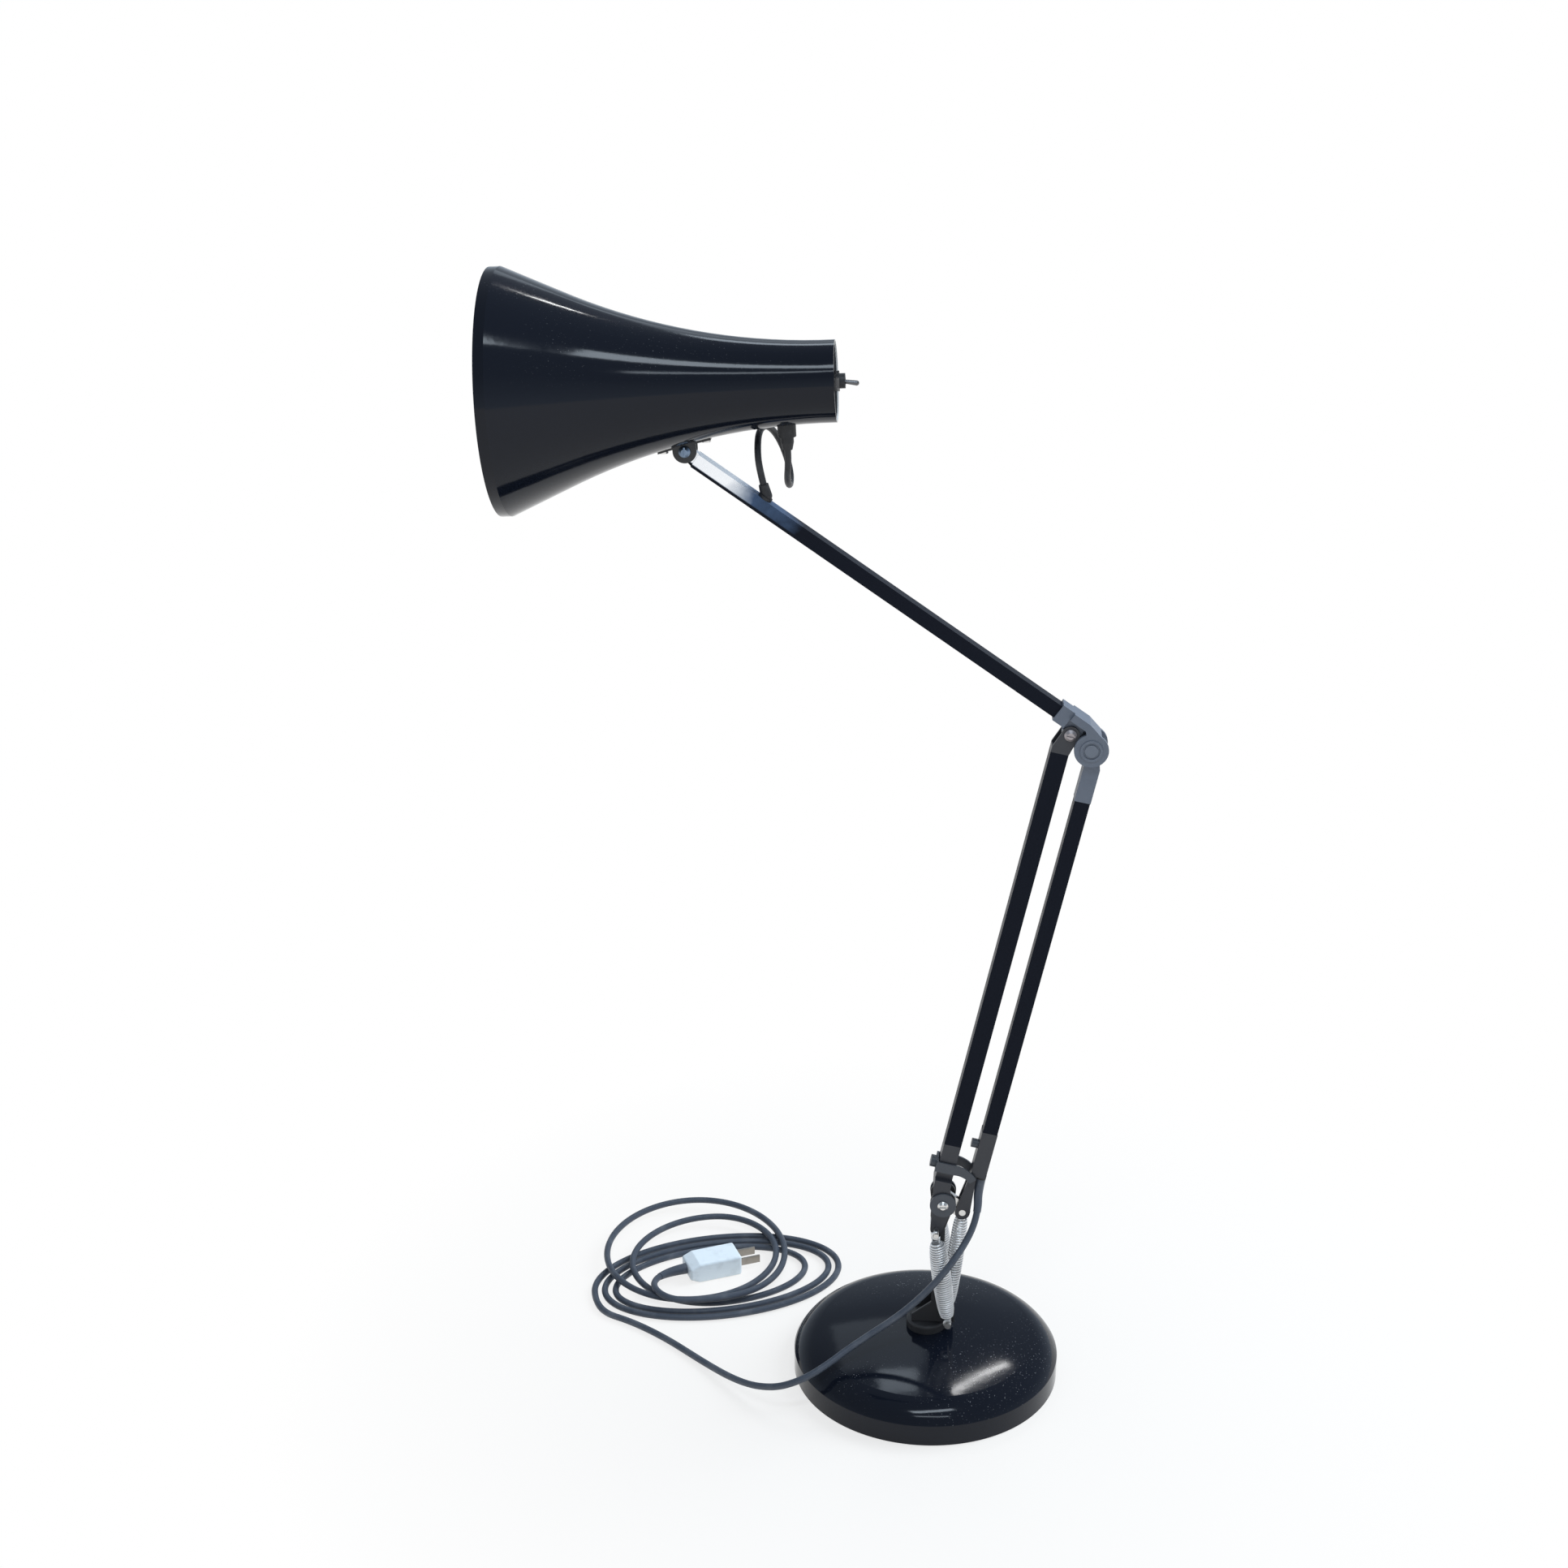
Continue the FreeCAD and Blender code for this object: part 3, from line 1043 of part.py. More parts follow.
def mains_lead_parts():
    diameter = float(S.cord_diameter)
    stations = loop_stations()
    start, start_way = stations[0]
    end, end_way = stations[-1]
    entry = end + end_way * float(S.plug_lead_in)
    edges = wound_path(stations + [(entry, end_way)])
    print("cord_coil least gap %.2f mm" % least_self_gap(edges, diameter, diameter / 2))
    cord("cord_coil", edges, diameter)
    bush_exit = along(ROD, S.bar_offset + S.cord_exit_offset, S.rod_foot_start - S.bush_lip)
    floor = start.z
    points = [bush_exit, V(36.2, -1, 157), V(36.6, -6, 146), V(33.8, -12.5, 134.5), V(27.7, -18.5, 122.5),
              V(18.7, -28.5, 112.4), V(7.1, -32.5, 97.4), V(-7.8, -34.3, 80), V(-24.8, -38.2, 66),
              V(-42, -42.5, 55), V(-58, -49.5, 46), V(-71.4, -58, 39), V(-84, -64.6, 33), V(-96, -67, 27.5),
              V(-108, -65, 21.5), V(-120, -58.5, 16), V(-132.5, -49, 11), V(-148, -35, 7), V(-166, -16.5, 4),
              V(-182, -0.5, floor), V(-198, 14, floor), V(-216, 28, floor),
              V(-235, 40.2, floor), start - start_way * float(S.coil_run_in), start]
    cord("mains_cord", route_edges(points, "mains_cord", diameter), diameter)
    heading = math.degrees(math.atan2(end_way.y, end_way.x))
    plug_parts(FreeCAD.Placement(V(entry.x, entry.y, 0), FreeCAD.Rotation(V(0, 0, 1), heading)))


def plug_parts(frame):
    nose, height, length = S.plug_nose, S.plug_height, S.plug_length
    nose_low, nose_high = (height - S.nose_height) / 2, (height + S.nose_height) / 2
    blank = plate("plug_blank", [(0, nose_low), (nose, 0), (length, 0), (length, height), (nose, height),
                                 (0, nose_high)], S.plug_width)
    form = doc.addObject("Part::Fillet", "plug_form")
    form.Base = blank
    count = len(blank.Shape.Edges)
    form.Edges = [(number, float(S.plug_round), float(S.plug_round)) for number in range(1, count + 1)]
    node(form, "plug_body", frame)
    thick, half_blade = S.pin_thick / 2, S.pin_width / 2
    blades = []
    for side, sign in (("left", -1), ("right", 1)):
        middle = sign * S.pin_spread / 2
        blades.append(block("blade_" + side, (length, length + S.pin_length),
                            (middle - thick, middle + thick),
                            (height / 2 - half_blade, height / 2 + half_blade)))
    node(fuse("plug_pins_form", blades), "plug_pins", frame)


# slack loop of the head lead, from the tilt pivot
HEAD_LOOP = [V(67.6, 8, -22), V(68.6, 21, -30), V(68.6, 36, -26.5), V(64.6, 44, -13), V(57.6, 40, 3),
             V(51.6, 27, 11.5), V(48.1, 12, 9.8), V(48.1, 2.5, -0.2)]


def head_lead():
    diameter = float(S.lead_diameter)
    from_mouth = S.shade_length - S.gland_from_rear
    gland_tip = shade_radius(from_mouth) + S.gland_length
    seat = S.upper_axis_rise + S.upper_tube_width / 2 + S.socket_gap
    stem = UPPER.multiply(stem_frame(seat, S.upper_length - S.grommet_from_knuckle))
    points = [along(HEAD, gland_tip, from_mouth), along(HEAD, gland_tip + S.gland_run, from_mouth)]
    points += [KNUCKLE + spot for spot in HEAD_LOOP]
    points += [along(stem, 0, S.stem_length + S.stem_run), along(stem, 0, S.stem_length)]
    cord("head_lead", route_edges(points, "head_lead", diameter), diameter)


def check_and_write():
    doc.recompute()
    failed = [obj.Label for obj in doc.Objects if "Invalid" in obj.State or "Error" in obj.State]
    for obj in nodes:
        if obj.Shape.isNull() or not obj.Shape.isValid() or not obj.Shape.Solids:
            failed.append(obj.Label)
    if failed:
        raise RuntimeError("failed: " + ", ".join(failed))
    os.makedirs("parts", exist_ok=True)
    for obj in nodes:
        obj.Shape.exportStep("parts/%s.step" % obj.Label)
    print("%d sub-parts, %d solids" % (len(nodes), sum(len(obj.Shape.Solids) for obj in nodes)))


base_parts()
swivel_parts()
main_arm_parts()
crank_parts()
control_rod_parts()
upper_arm_parts()
shade_parts()
saddle_parts()
gland_parts()
spring_parts()
mains_lead_parts()
head_lead()
check_and_write()
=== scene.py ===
"""Looks of a spring-balanced desk lamp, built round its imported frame.

Metres, +Z up, origin under the middle of the base, arms in the plane Y = 0.
"""
import math

import bmesh
import bpy
from mathutils import Euler, Matrix, Vector


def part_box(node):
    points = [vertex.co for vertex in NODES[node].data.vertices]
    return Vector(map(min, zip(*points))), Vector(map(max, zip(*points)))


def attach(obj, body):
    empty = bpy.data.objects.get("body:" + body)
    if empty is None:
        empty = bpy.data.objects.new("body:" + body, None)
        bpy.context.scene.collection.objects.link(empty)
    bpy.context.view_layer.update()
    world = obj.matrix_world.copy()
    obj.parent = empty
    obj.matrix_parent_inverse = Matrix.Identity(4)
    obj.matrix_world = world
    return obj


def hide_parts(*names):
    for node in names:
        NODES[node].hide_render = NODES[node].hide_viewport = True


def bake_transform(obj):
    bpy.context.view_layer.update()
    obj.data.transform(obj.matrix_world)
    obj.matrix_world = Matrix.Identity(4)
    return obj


bl_info = {
    "name": "Desk lamp looks",
    "version": (1, 0, 0),
    "blender": (4, 5, 0),
    "location": "View3D > Sidebar > Desk lamp",
    "description": "Finishes, springs, leads and stage of a spring-balanced desk lamp",
    "category": "Object",
}

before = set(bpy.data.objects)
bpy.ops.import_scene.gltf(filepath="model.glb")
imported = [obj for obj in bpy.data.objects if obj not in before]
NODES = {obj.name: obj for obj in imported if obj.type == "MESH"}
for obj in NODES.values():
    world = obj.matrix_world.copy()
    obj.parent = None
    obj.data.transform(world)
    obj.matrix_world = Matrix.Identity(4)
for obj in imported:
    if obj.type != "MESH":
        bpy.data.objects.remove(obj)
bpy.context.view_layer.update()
MM = 0.001

# pivots and seats of the frame, in millimetres as (x, z) in the plane of the arms
MAIN_PIVOT = (10.4, 150.4)
ARM_LEAN = math.radians(11.85)
SPRING_ANCHOR = (16.5, 52.0)
LEVER_LENGTH = 22.0
CRANK_EYE = (25.02, 140.24)
KNUCKLE = (-174.866, 720.2327)
UPPER_ARM_WAY = (0.8211, -0.5707)


def point(x, y, z):
    """A place given in millimetres."""
    return Vector((x, y, z)) * MM


class LampSizes(bpy.types.PropertyGroup):
    """Sizes that a user of the lamp would change."""

    spring_wire: bpy.props.FloatProperty(
        name="Spring wire", description="Thickness of the balance springs' wire", default=0.0017,
        unit="LENGTH")
    spring_turns: bpy.props.IntProperty(
        name="Spring turns", description="Turns of each balance spring", default=34, min=8, max=60)
    cord_thickness: bpy.props.FloatProperty(
        name="Mains lead", description="Thickness of the mains lead", default=0.0052, unit="LENGTH")
    lead_thickness: bpy.props.FloatProperty(
        name="Head lead", description="Thickness of the lead to the shade", default=0.0046,
        unit="LENGTH")


class LampColours(bpy.types.PropertyGroup):
    """Colours that a user of the lamp would change."""

    enamel: bpy.props.FloatVectorProperty(
        name="Enamel", description="Gloss paint of the shade and the base",
        default=(0.006, 0.008, 0.014), size=3, subtype="COLOR", min=0, max=1)
    lining: bpy.props.FloatVectorProperty(
        name="Lining", description="Paint inside the shade", default=(0.82, 0.82, 0.8),
        size=3, subtype="COLOR", min=0, max=1)
    arm_paint: bpy.props.FloatVectorProperty(
        name="Arm paint", description="Satin paint of the arms", default=(0.01, 0.012, 0.019),
        size=3, subtype="COLOR", min=0, max=1)
    moulding: bpy.props.FloatVectorProperty(
        name="Moulding", description="Moulded joints of the arms", default=(0.11, 0.13, 0.17),
        size=3, subtype="COLOR", min=0, max=1)
    sheath: bpy.props.FloatVectorProperty(
        name="Lead sheath", description="Sheath of the leads", default=(0.06, 0.072, 0.095),
        size=3, subtype="COLOR", min=0, max=1)
    plug: bpy.props.FloatVectorProperty(
        name="Plug", description="Body of the plug", default=(0.9, 0.96, 0.99),
        size=3, subtype="COLOR", min=0, max=1)


class Field:
    """A shader value that plain arithmetic works on."""

    def __init__(self, finish, socket):
        self.finish = finish
        self.socket = socket

    def _with(self, operation, first, second):
        return self.finish.node("Math", {"operation": operation}, inputs=(first, second))

    def __add__(self, other):
        return self._with("ADD", self, other)

    def __sub__(self, other):
        return self._with("SUBTRACT", self, other)

    def __mul__(self, other):
        return self._with("MULTIPLY", self, other)

    def __radd__(self, other):
        return self._with("ADD", other, self)

    def __rsub__(self, other):
        return self._with("SUBTRACT", other, self)

    def __rmul__(self, other):
        return self._with("MULTIPLY", other, self)


NOISE_ROUGHNESS = 0.55


class Finish:
    """One material and the nodes that make it."""

    def __init__(self, name, owner=None, place="Object"):
        self.material = owner or bpy.data.materials.new(name)
        self.material.use_nodes = True
        self.tree = self.material.node_tree
        self.tree.nodes.clear()
        self.place = self.node("TexCoord", output=place)

    def node(self, kind, settings=None, inputs=(), output=0):
        made = self.tree.nodes.new("ShaderNode" + kind)
        for name, value in (settings or {}).items():
            if name == "stops":
                self._set_stops(made.color_ramp.elements, value)
            else:
                setattr(made, name, value)
        pairs = inputs.items() if isinstance(inputs, dict) else enumerate(inputs)
        for key, value in pairs:
            self._feed(made.inputs[key], value)
        return Field(self, made.outputs[output]) if made.outputs else None

    def _feed(self, socket, value):
        if isinstance(value, Field):
            self.tree.links.new(value.socket, socket)
        elif value is not None:
            lacks_alpha = hasattr(value, "__len__") and len(value) < len(socket.default_value)
            socket.default_value = (*value, 1.0) if lacks_alpha else value

    @staticmethod
    def _set_stops(elements, stops):
        while len(elements) < len(stops):
            elements.new(1.0)
        for element, (position, value) in zip(elements, stops):
            element.position = position
            element.color = (value, value, value, 1.0)

    def noise(self, scale, detail, stretch=None):
        at = self.place
        if stretch is not None:
            at = self.node("Mapping", inputs={"Vector": at, "Scale": stretch})
        inputs = {"Vector": at, "Scale": scale, "Detail": detail, "Roughness": NOISE_ROUGHNESS}
        return self.node("TexNoise", inputs=inputs)

    def ramp(self, value, *stops):
        return self.node("ValToRGB", {"stops": stops}, {"Fac": value})

    def mix(self, share, first, second):
        return self.node("Mix", {"data_type": "RGBA"}, {0: share, 6: first, 7: second}, output=2)

    def axis(self, name, source=None):
        return self.node("SeparateXYZ", inputs={"Vector": source or self.place}, output=name)

    def bump(self, height, strength, distance):
        inputs = {"Strength": strength, "Distance": distance, "Height": height}
        return self.node("Bump", inputs=inputs)

    def surface(self, **sockets):
        inputs = {name.replace("_", " "): value for name, value in sockets.items()}
        shader = self.node("BsdfPrincipled", inputs=inputs)
        self.node("OutputMaterial", inputs={"Surface": shader})
        return self.material


def grown(colour, share):
    """A colour mixed a little way towards white."""
    return tuple(c + (1 - c) * share for c in colour)


def upward(finish):
    """How far a surface faces up when the lamp is at rest, from 0 to 1."""
    normal = finish.node("TexCoord", output="Normal")
    return finish.ramp(finish.axis("Z", normal), (0.2, 0.0), (0.9, 1.0))


# how strongly the paints mirror the room
GLOSS_LEVEL = 0.24
SATIN_LEVEL = 0.05
DUST_COLOUR = (0.42, 0.42, 0.43)
BASE_DUST = 0.7
SHADE_DUST = 0.35
LINING_ROUGHNESS = 0.35
# how sharply the shade's outside is told from its lining
FACING_GAIN = 60.0
FACING_LEVEL = 0.5
# painted glare on the upper arm, measured from the shade's pivot
DECIMETRES = 10.0
SQUARE_CENTIMETRES = 10000.0
# colours of the painted highlight: blue where the glare fades, white where it is brightest
BLUE_GLARE = (0.09, 0.14, 0.24)
WHITE_GLARE = (0.95, 0.97, 1.0)


def gloss_enamel(name, colour, dust_share):
    """Deep gloss paint with fine wipe marks, and dust where it faces up."""
    finish = Finish(name)
    smudge = finish.noise(scale=9.0, detail=4.0)
    wipe = finish.noise(scale=40.0, detail=3.0, stretch=(0.2, 1.0, 2.2))
    specks = finish.ramp(finish.noise(scale=900.0, detail=1.0), (0.70, 0.0), (0.76, 1.0))
    drift = finish.ramp(finish.noise(scale=14.0, detail=2.0), (0.42, 0.0), (0.66, 1.0))
    dust = specks * drift * upward(finish) * dust_share
    tint = finish.mix(dust, colour, DUST_COLOUR)
    rough = 0.05 + smudge * 0.05 + wipe * 0.04 + dust * 0.5
    peel = finish.bump(finish.noise(scale=160.0, detail=2.0), strength=0.05, distance=0.0004)
    return finish, tint, rough, peel


def base_enamel(colours):
    """Gloss enamel of the base's cover."""
    finish, tint, rough, peel = gloss_enamel("base_enamel", colours.enamel, BASE_DUST)
    return finish.surface(Base_Color=tint, Roughness=rough, Normal=peel,
                          Specular_IOR_Level=GLOSS_LEVEL)


def shade_enamel(colours):
    """Black outside and pale inside, told apart by whether the surface faces the shade's axis."""
    finish, tint, rough, peel = gloss_enamel("shade_enamel", colours.enamel, SHADE_DUST)
    low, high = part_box("shade")
    middle = (low + high) / 2
    normal = finish.node("TexCoord", output="Normal")
    spoke = finish.node("VectorMath", {"operation": "SUBTRACT"}, (finish.place, tuple(middle)))
    across = finish.node("VectorMath", {"operation": "MULTIPLY"}, (spoke, (0.0, 1.0, 1.0)))
    facing = finish.node("VectorMath", {"operation": "DOT_PRODUCT"}, (across, normal),
                         output="Value")
    outside = finish.ramp(facing * FACING_GAIN + FACING_LEVEL, (0.3, 0.0), (0.42, 1.0))
    colour = finish.mix(outside, tuple(colours.lining), tint)
    rough = LINING_ROUGHNESS + outside * (rough - LINING_ROUGHNESS)
    return finish.surface(Base_Color=colour, Roughness=rough, Normal=peel,
                          Specular_IOR_Level=GLOSS_LEVEL)


def arm_paint(colours):
    """Satin paint on square tube, with a painted highlight along the stretch next to the shade's
    pivot.
    """
    finish = Finish("arm_paint")
    grain = finish.noise(scale=220.0, detail=3.0)
    glare_ragging = finish.noise(scale=30.0, detail=4.0)
    right = finish.axis("X") - KNUCKLE[0] * MM
    above = finish.axis("Z") - KNUCKLE[1] * MM
    along = right * UPPER_ARM_WAY[0] + above * UPPER_ARM_WAY[1]
    off_axis = above * UPPER_ARM_WAY[0] - right * UPPER_ARM_WAY[1]
    # painted highlight: the flat face near the pivot is painted as white metal that fades through a
    # blue glare into the paint, with ragged ends
    flat = finish.ramp(off_axis * off_axis * SQUARE_CENTIMETRES, (0.14, 1.0), (0.2, 0.0))
    glare_core = finish.ramp(along * DECIMETRES + (glare_ragging - 0.5) * 0.3, (0.34, 1.0), (0.56, 0.0))
    glare_fade = finish.ramp(along * DECIMETRES + (glare_ragging - 0.5) * 1.2, (0.5, 1.0), (0.95, 0.0))
    painted_glare = flat * glare_core
    paint_and_blue_glare = finish.mix(flat * glare_fade * 0.9, tuple(colours.arm_paint), BLUE_GLARE)
    colour = finish.mix(painted_glare, paint_and_blue_glare, WHITE_GLARE)
    rough = 0.3 + grain * 0.12 - painted_glare * 0.1
    fine = finish.bump(grain, strength=0.04, distance=0.0003)
    return finish.surface(Base_Color=colour, Metallic=painted_glare * 0.9, Roughness=rough, Normal=fine,
                          Specular_IOR_Level=SATIN_LEVEL)


BLACK_PAINT = (0.012, 0.012, 0.014)
BLACK_MOULDING = (0.014, 0.014, 0.016)
SATIN_ROUGHNESS = 0.32
SATIN_SHINE = 0.5


def satin_black(name, colour, rough_from=SATIN_ROUGHNESS, shine=SATIN_SHINE):
    """Satin paint or moulding with a faint cloud."""
    finish = Finish(name)
    grain = finish.noise(scale=260.0, detail=3.0)
    cloud = finish.noise(scale=22.0, detail=3.0)
    tint = finish.mix(cloud * 0.5, colour, grown(colour, 0.05))
    fine = finish.bump(grain, strength=0.06, distance=0.0003)
    rough = rough_from + grain * 0.14 + cloud * 0.08
    return finish.surface(Base_Color=tint, Roughness=rough, Normal=fine, Specular_IOR_Level=shine)


def moulding(colours):
    """Grey moulded joints with the faint mottle of filled plastic."""
    finish = Finish("grey_moulding")
    colour = tuple(colours.moulding)
    mottle = finish.noise(scale=75.0, detail=4.0)
    grain = finish.noise(scale=900.0, detail=2.0)
    tint = finish.mix(mottle, colour, grown(colour, 0.07))
    soft = finish.bump(grain, strength=0.12, distance=0.0002)
    return finish.surface(Base_Color=tint, Roughness=0.36 + mottle * 0.16, Normal=soft)


def moulding_cap(colours):
    """The pale cap on the pin of a moulded joint."""
    return satin_black("pin_cap", grown(tuple(colours.moulding), 0.05), 0.3)


def bright_metal(name, colour, rough_from):
    """Plated metal with fine drawing marks and a little tarnish."""
    finish = Finish(name)
    marks = finish.noise(scale=420.0, detail=2.0, stretch=(1.0, 1.0, 0.15))
    tarnish = finish.ramp(finish.noise(scale=60.0, detail=4.0), (0.45, 0.0), (0.75, 1.0))
    dull = tuple(c * 0.55 for c in colour)
    tint = finish.mix(tarnish * 0.6, colour, dull)
    fine = finish.bump(marks, strength=0.05, distance=0.0002)
    rough = rough_from + marks * 0.12 + tarnish * 0.15
    return finish.surface(Base_Color=tint, Metallic=1.0, Roughness=rough, Normal=fine)


def rubber(name, colour, rough_from=0.5):
    """Flexible sheath with pale scuffs."""
    finish = Finish(name)
    grain = finish.noise(scale=500.0, detail=3.0)
    scuff = finish.ramp(finish.noise(scale=55.0, detail=4.0), (0.5, 0.0), (0.75, 1.0))
    tint = finish.mix(scuff * 0.5, colour, grown(colour, 0.12))
    fine = finish.bump(grain, strength=0.1, distance=0.0002)
    return finish.surface(Base_Color=tint, Roughness=rough_from + grain * 0.12, Normal=fine)


def plug_plastic(colours):
    """Pale moulding with grime in patches."""
    finish = Finish("plug_plastic")
    colour = tuple(colours.plug)
    grime = finish.ramp(finish.noise(scale=120.0, detail=4.0), (0.5, 0.0), (0.8, 1.0))
    tint = finish.mix(grime * 0.4, colour, tuple(c * 0.62 for c in colour))
    fine = finish.bump(finish.noise(scale=700.0, detail=2.0), strength=0.06, distance=0.0002)
    return finish.surface(Base_Color=tint, Roughness=0.3 + grime * 0.25, Normal=fine)


def felt(name):
    """Dark felt under the base."""
    finish = Finish(name)
    fibre = finish.noise(scale=1500.0, detail=3.0)
    tint = finish.mix(fibre, (0.012, 0.012, 0.013), (0.05, 0.05, 0.052))
    nap = finish.bump(fibre, strength=0.5, distance=0.0006)
    return finish.surface(Base_Color=tint, Roughness=0.95, Normal=nap)


def cast_iron(name):
    """Rough cast weight inside the base."""
    finish = Finish(name)
    grain = finish.noise(scale=300.0, detail=4.0)
    tint = finish.mix(grain, (0.05, 0.05, 0.05), (0.16, 0.15, 0.14))
    rough_skin = finish.bump(grain, strength=0.4, distance=0.0008)
    return finish.surface(Base_Color=tint, Roughness=0.7, Normal=rough_skin)


def opal_glass(name):
    """Milky glass of the bulb."""
    finish = Finish(name)
    haze = finish.noise(scale=40.0, detail=2.0)
    tint = finish.mix(haze, (0.88, 0.88, 0.86), (0.95, 0.95, 0.94))
    return finish.surface(Base_Color=tint, Roughness=0.12 + haze * 0.1)


def paint(material, *names):
    """Give pieces of the frame one material."""
    for name in names:
        slots = NODES[name].data.materials
        slots.clear()
        slots.append(material)


def smooth(mesh):
    """Shade a mesh smooth."""
    for face in mesh.polygons:
        face.use_smooth = True


CURVE_STEPS = 8
CURVE_ORDER = 3
# how finely the round of a tube is cut
CORD_SIDES = 3
SLEEVE_SIDES = 4
WIRE_SIDES = 2


def spline_line(name, points, kind="NURBS", thickness=0.0, sides=CORD_SIDES, taper=1.0):
    """A curve along points, as a tube when it has a thickness, which tapers to a share of it."""
    curve = bpy.data.curves.new(name, "CURVE")
    curve.dimensions = "3D"
    curve.resolution_u = CURVE_STEPS
    curve.bevel_depth = thickness / 2
    curve.bevel_resolution = sides
    curve.use_fill_caps = True
    spline = curve.splines.new(kind)
    spline.points.add(len(points) - 1)
    for k, (spot, place) in enumerate(zip(spline.points, points)):
        spot.co = (*place, 1.0)
        spot.radius = 1.0 + (taper - 1.0) * k / (len(points) - 1)
    if kind == "NURBS":
        spline.order_u = CURVE_ORDER
        spline.use_endpoint_u = True
    return bpy.data.objects.new(name, curve)


def smooth_line(points):
    """Close points of the smooth line that control points pull."""
    line = spline_line("line", points)
    path = [v.co.copy() for v in bpy.data.meshes.new_from_object(line).vertices]
    bpy.data.objects.remove(line)
    return path


def tube(name, path, thickness, material, sides=CORD_SIDES, taper=1.0):
    """A mesh tube along close points."""
    round_line = spline_line(name, path, "POLY", thickness, sides, taper)
    mesh = bpy.data.meshes.new_from_object(round_line)
    bpy.data.objects.remove(round_line)
    mesh.name = name
    mesh.materials.append(material)
    smooth(mesh)
    made = bpy.data.objects.new(name, mesh)
    bpy.context.scene.collection.objects.link(made)
    return made


def line_length(path):
    """Length along close points."""
    return sum((b - a).length for a, b in zip(path, path[1:]))


# loops of the lead on the floor: turns wound so far, centre x and y, half width, half depth, tilt
LOOPS = [(0.0, -168, 106, 105, 62, 18), (2.0, -168, 106, 88.3, 45, 18),
         (2.85, -169, 108, 63.4, 38, 18), (3.4, -190.4, 133.4, 66.7, 61, 0),
         (4.4, -194.2, 131.8, 74.2, 84.2, 0), (4.78, -195, 139, 84.4, 83, 0),
         (4.87, -192, 80, 27, 27, 0), (5.253, -192, 80, 27, 27, 0)]
# layers of the loops, counted from the one on the floor: turns wound so far, layer
LAYERS = [(0.0, 0), (2.84, 0), (3.05, 1), (4.66, 1), (4.84, 2), (4.98, 2), (5.2, 1), (5.253, 1)]
LOOP_START = 205.0
LOOP_POINTS_PER_TURN = 16
LAST_STEP = 0.002
FLOOR_LEVEL = 2.7
LAYER_RISE = 6.0
PLUG_LEAD_IN = 8.0
CORD_EXIT = point(38.22, 0, 168.12)
CORD_DROP = [(36.2, -1, 157), (36.6, -6, 146), (33.8, -12.5, 134.5), (27.7, -18.5, 122.5),
             (18.7, -28.5, 112.4), (7.1, -32.5, 97.4), (-7.8, -34.3, 80), (-24.8, -38.2, 66),
             (-42, -42.5, 55), (-58, -49.5, 46), (-71.4, -58, 39), (-84, -64.6, 33),
             (-96, -67, 27.5), (-108, -65, 21.5), (-120, -58.5, 16), (-132.5, -49, 11),
             (-148, -35, 7), (-166, -16.5, 4), (-182, -0.5, 2.7), (-198, 14, 2.7),
             (-216, 28, 2.7), (-235, 40.2, 2.7), (-254.9, 49.2, 2.7)]
# heights on the lead at which it is cut into pieces, by the crank and by the lower arm
CRANK_LEVEL = 140.0
ARM_LEVEL = 112.4
SHEATH_ROUGHNESS = 0.42
HEAD_SHEATH = (0.012, 0.013, 0.016)
# sleeves on the lead: length in metres, and widths as shares of the lead's thickness
SLEEVE_LENGTH = 0.026
SLEEVE_NARROW = 1.12
ROD_SLEEVE_WIDE = 1.38
PLUG_SLEEVE_WIDE = 1.7


def between(table, at):
    """Values of a table at a place between its rows."""
    for low, high in zip(table, table[1:]):
        if at <= high[0]:
            share = (at - low[0]) / (high[0] - low[0])
            return [a + (b - a) * share for a, b in zip(low[1:], high[1:])]


def loop_point(turn):
    """Where the lead lies on the floor after so many turns."""
    x, y, wide, deep, tilt = between(LOOPS, turn)
    angle = math.radians(LOOP_START - tilt) - 2 * math.pi * turn
    lean = math.radians(tilt)
    along, up = wide * math.cos(angle), deep * math.sin(angle)
    right = along * math.cos(lean) - up * math.sin(lean)
    back = along * math.sin(lean) + up * math.cos(lean)
    return point(x + right, y + back, FLOOR_LEVEL + LAYER_RISE * between(LAYERS, turn)[0])


def loop_points():
    """The lead's loops, with a short straight run into the plug."""
    last = LOOPS[-1][0]
    count = round(last * LOOP_POINTS_PER_TURN)
    spots = [loop_point(last * k / count) for k in range(count + 1)]
    way = (spots[-1] - loop_point(last - LAST_STEP)).normalized()
    return spots + [spots[-1] + way * PLUG_LEAD_IN * MM]


def sleeve(name, path, thickness, wide, material):
    """A tapered sleeve round the first stretch of a lead."""
    count = 2
    while line_length(path[:count]) < SLEEVE_LENGTH:
        count += 1
    return tube(name, path[:count], thickness * wide, material, SLEEVE_SIDES, SLEEVE_NARROW / wide)


def first_below(path, level):
    """Where a line that falls from its start first passes a height."""
    return next(k for k, spot in enumerate(path) if spot.z < level * MM)


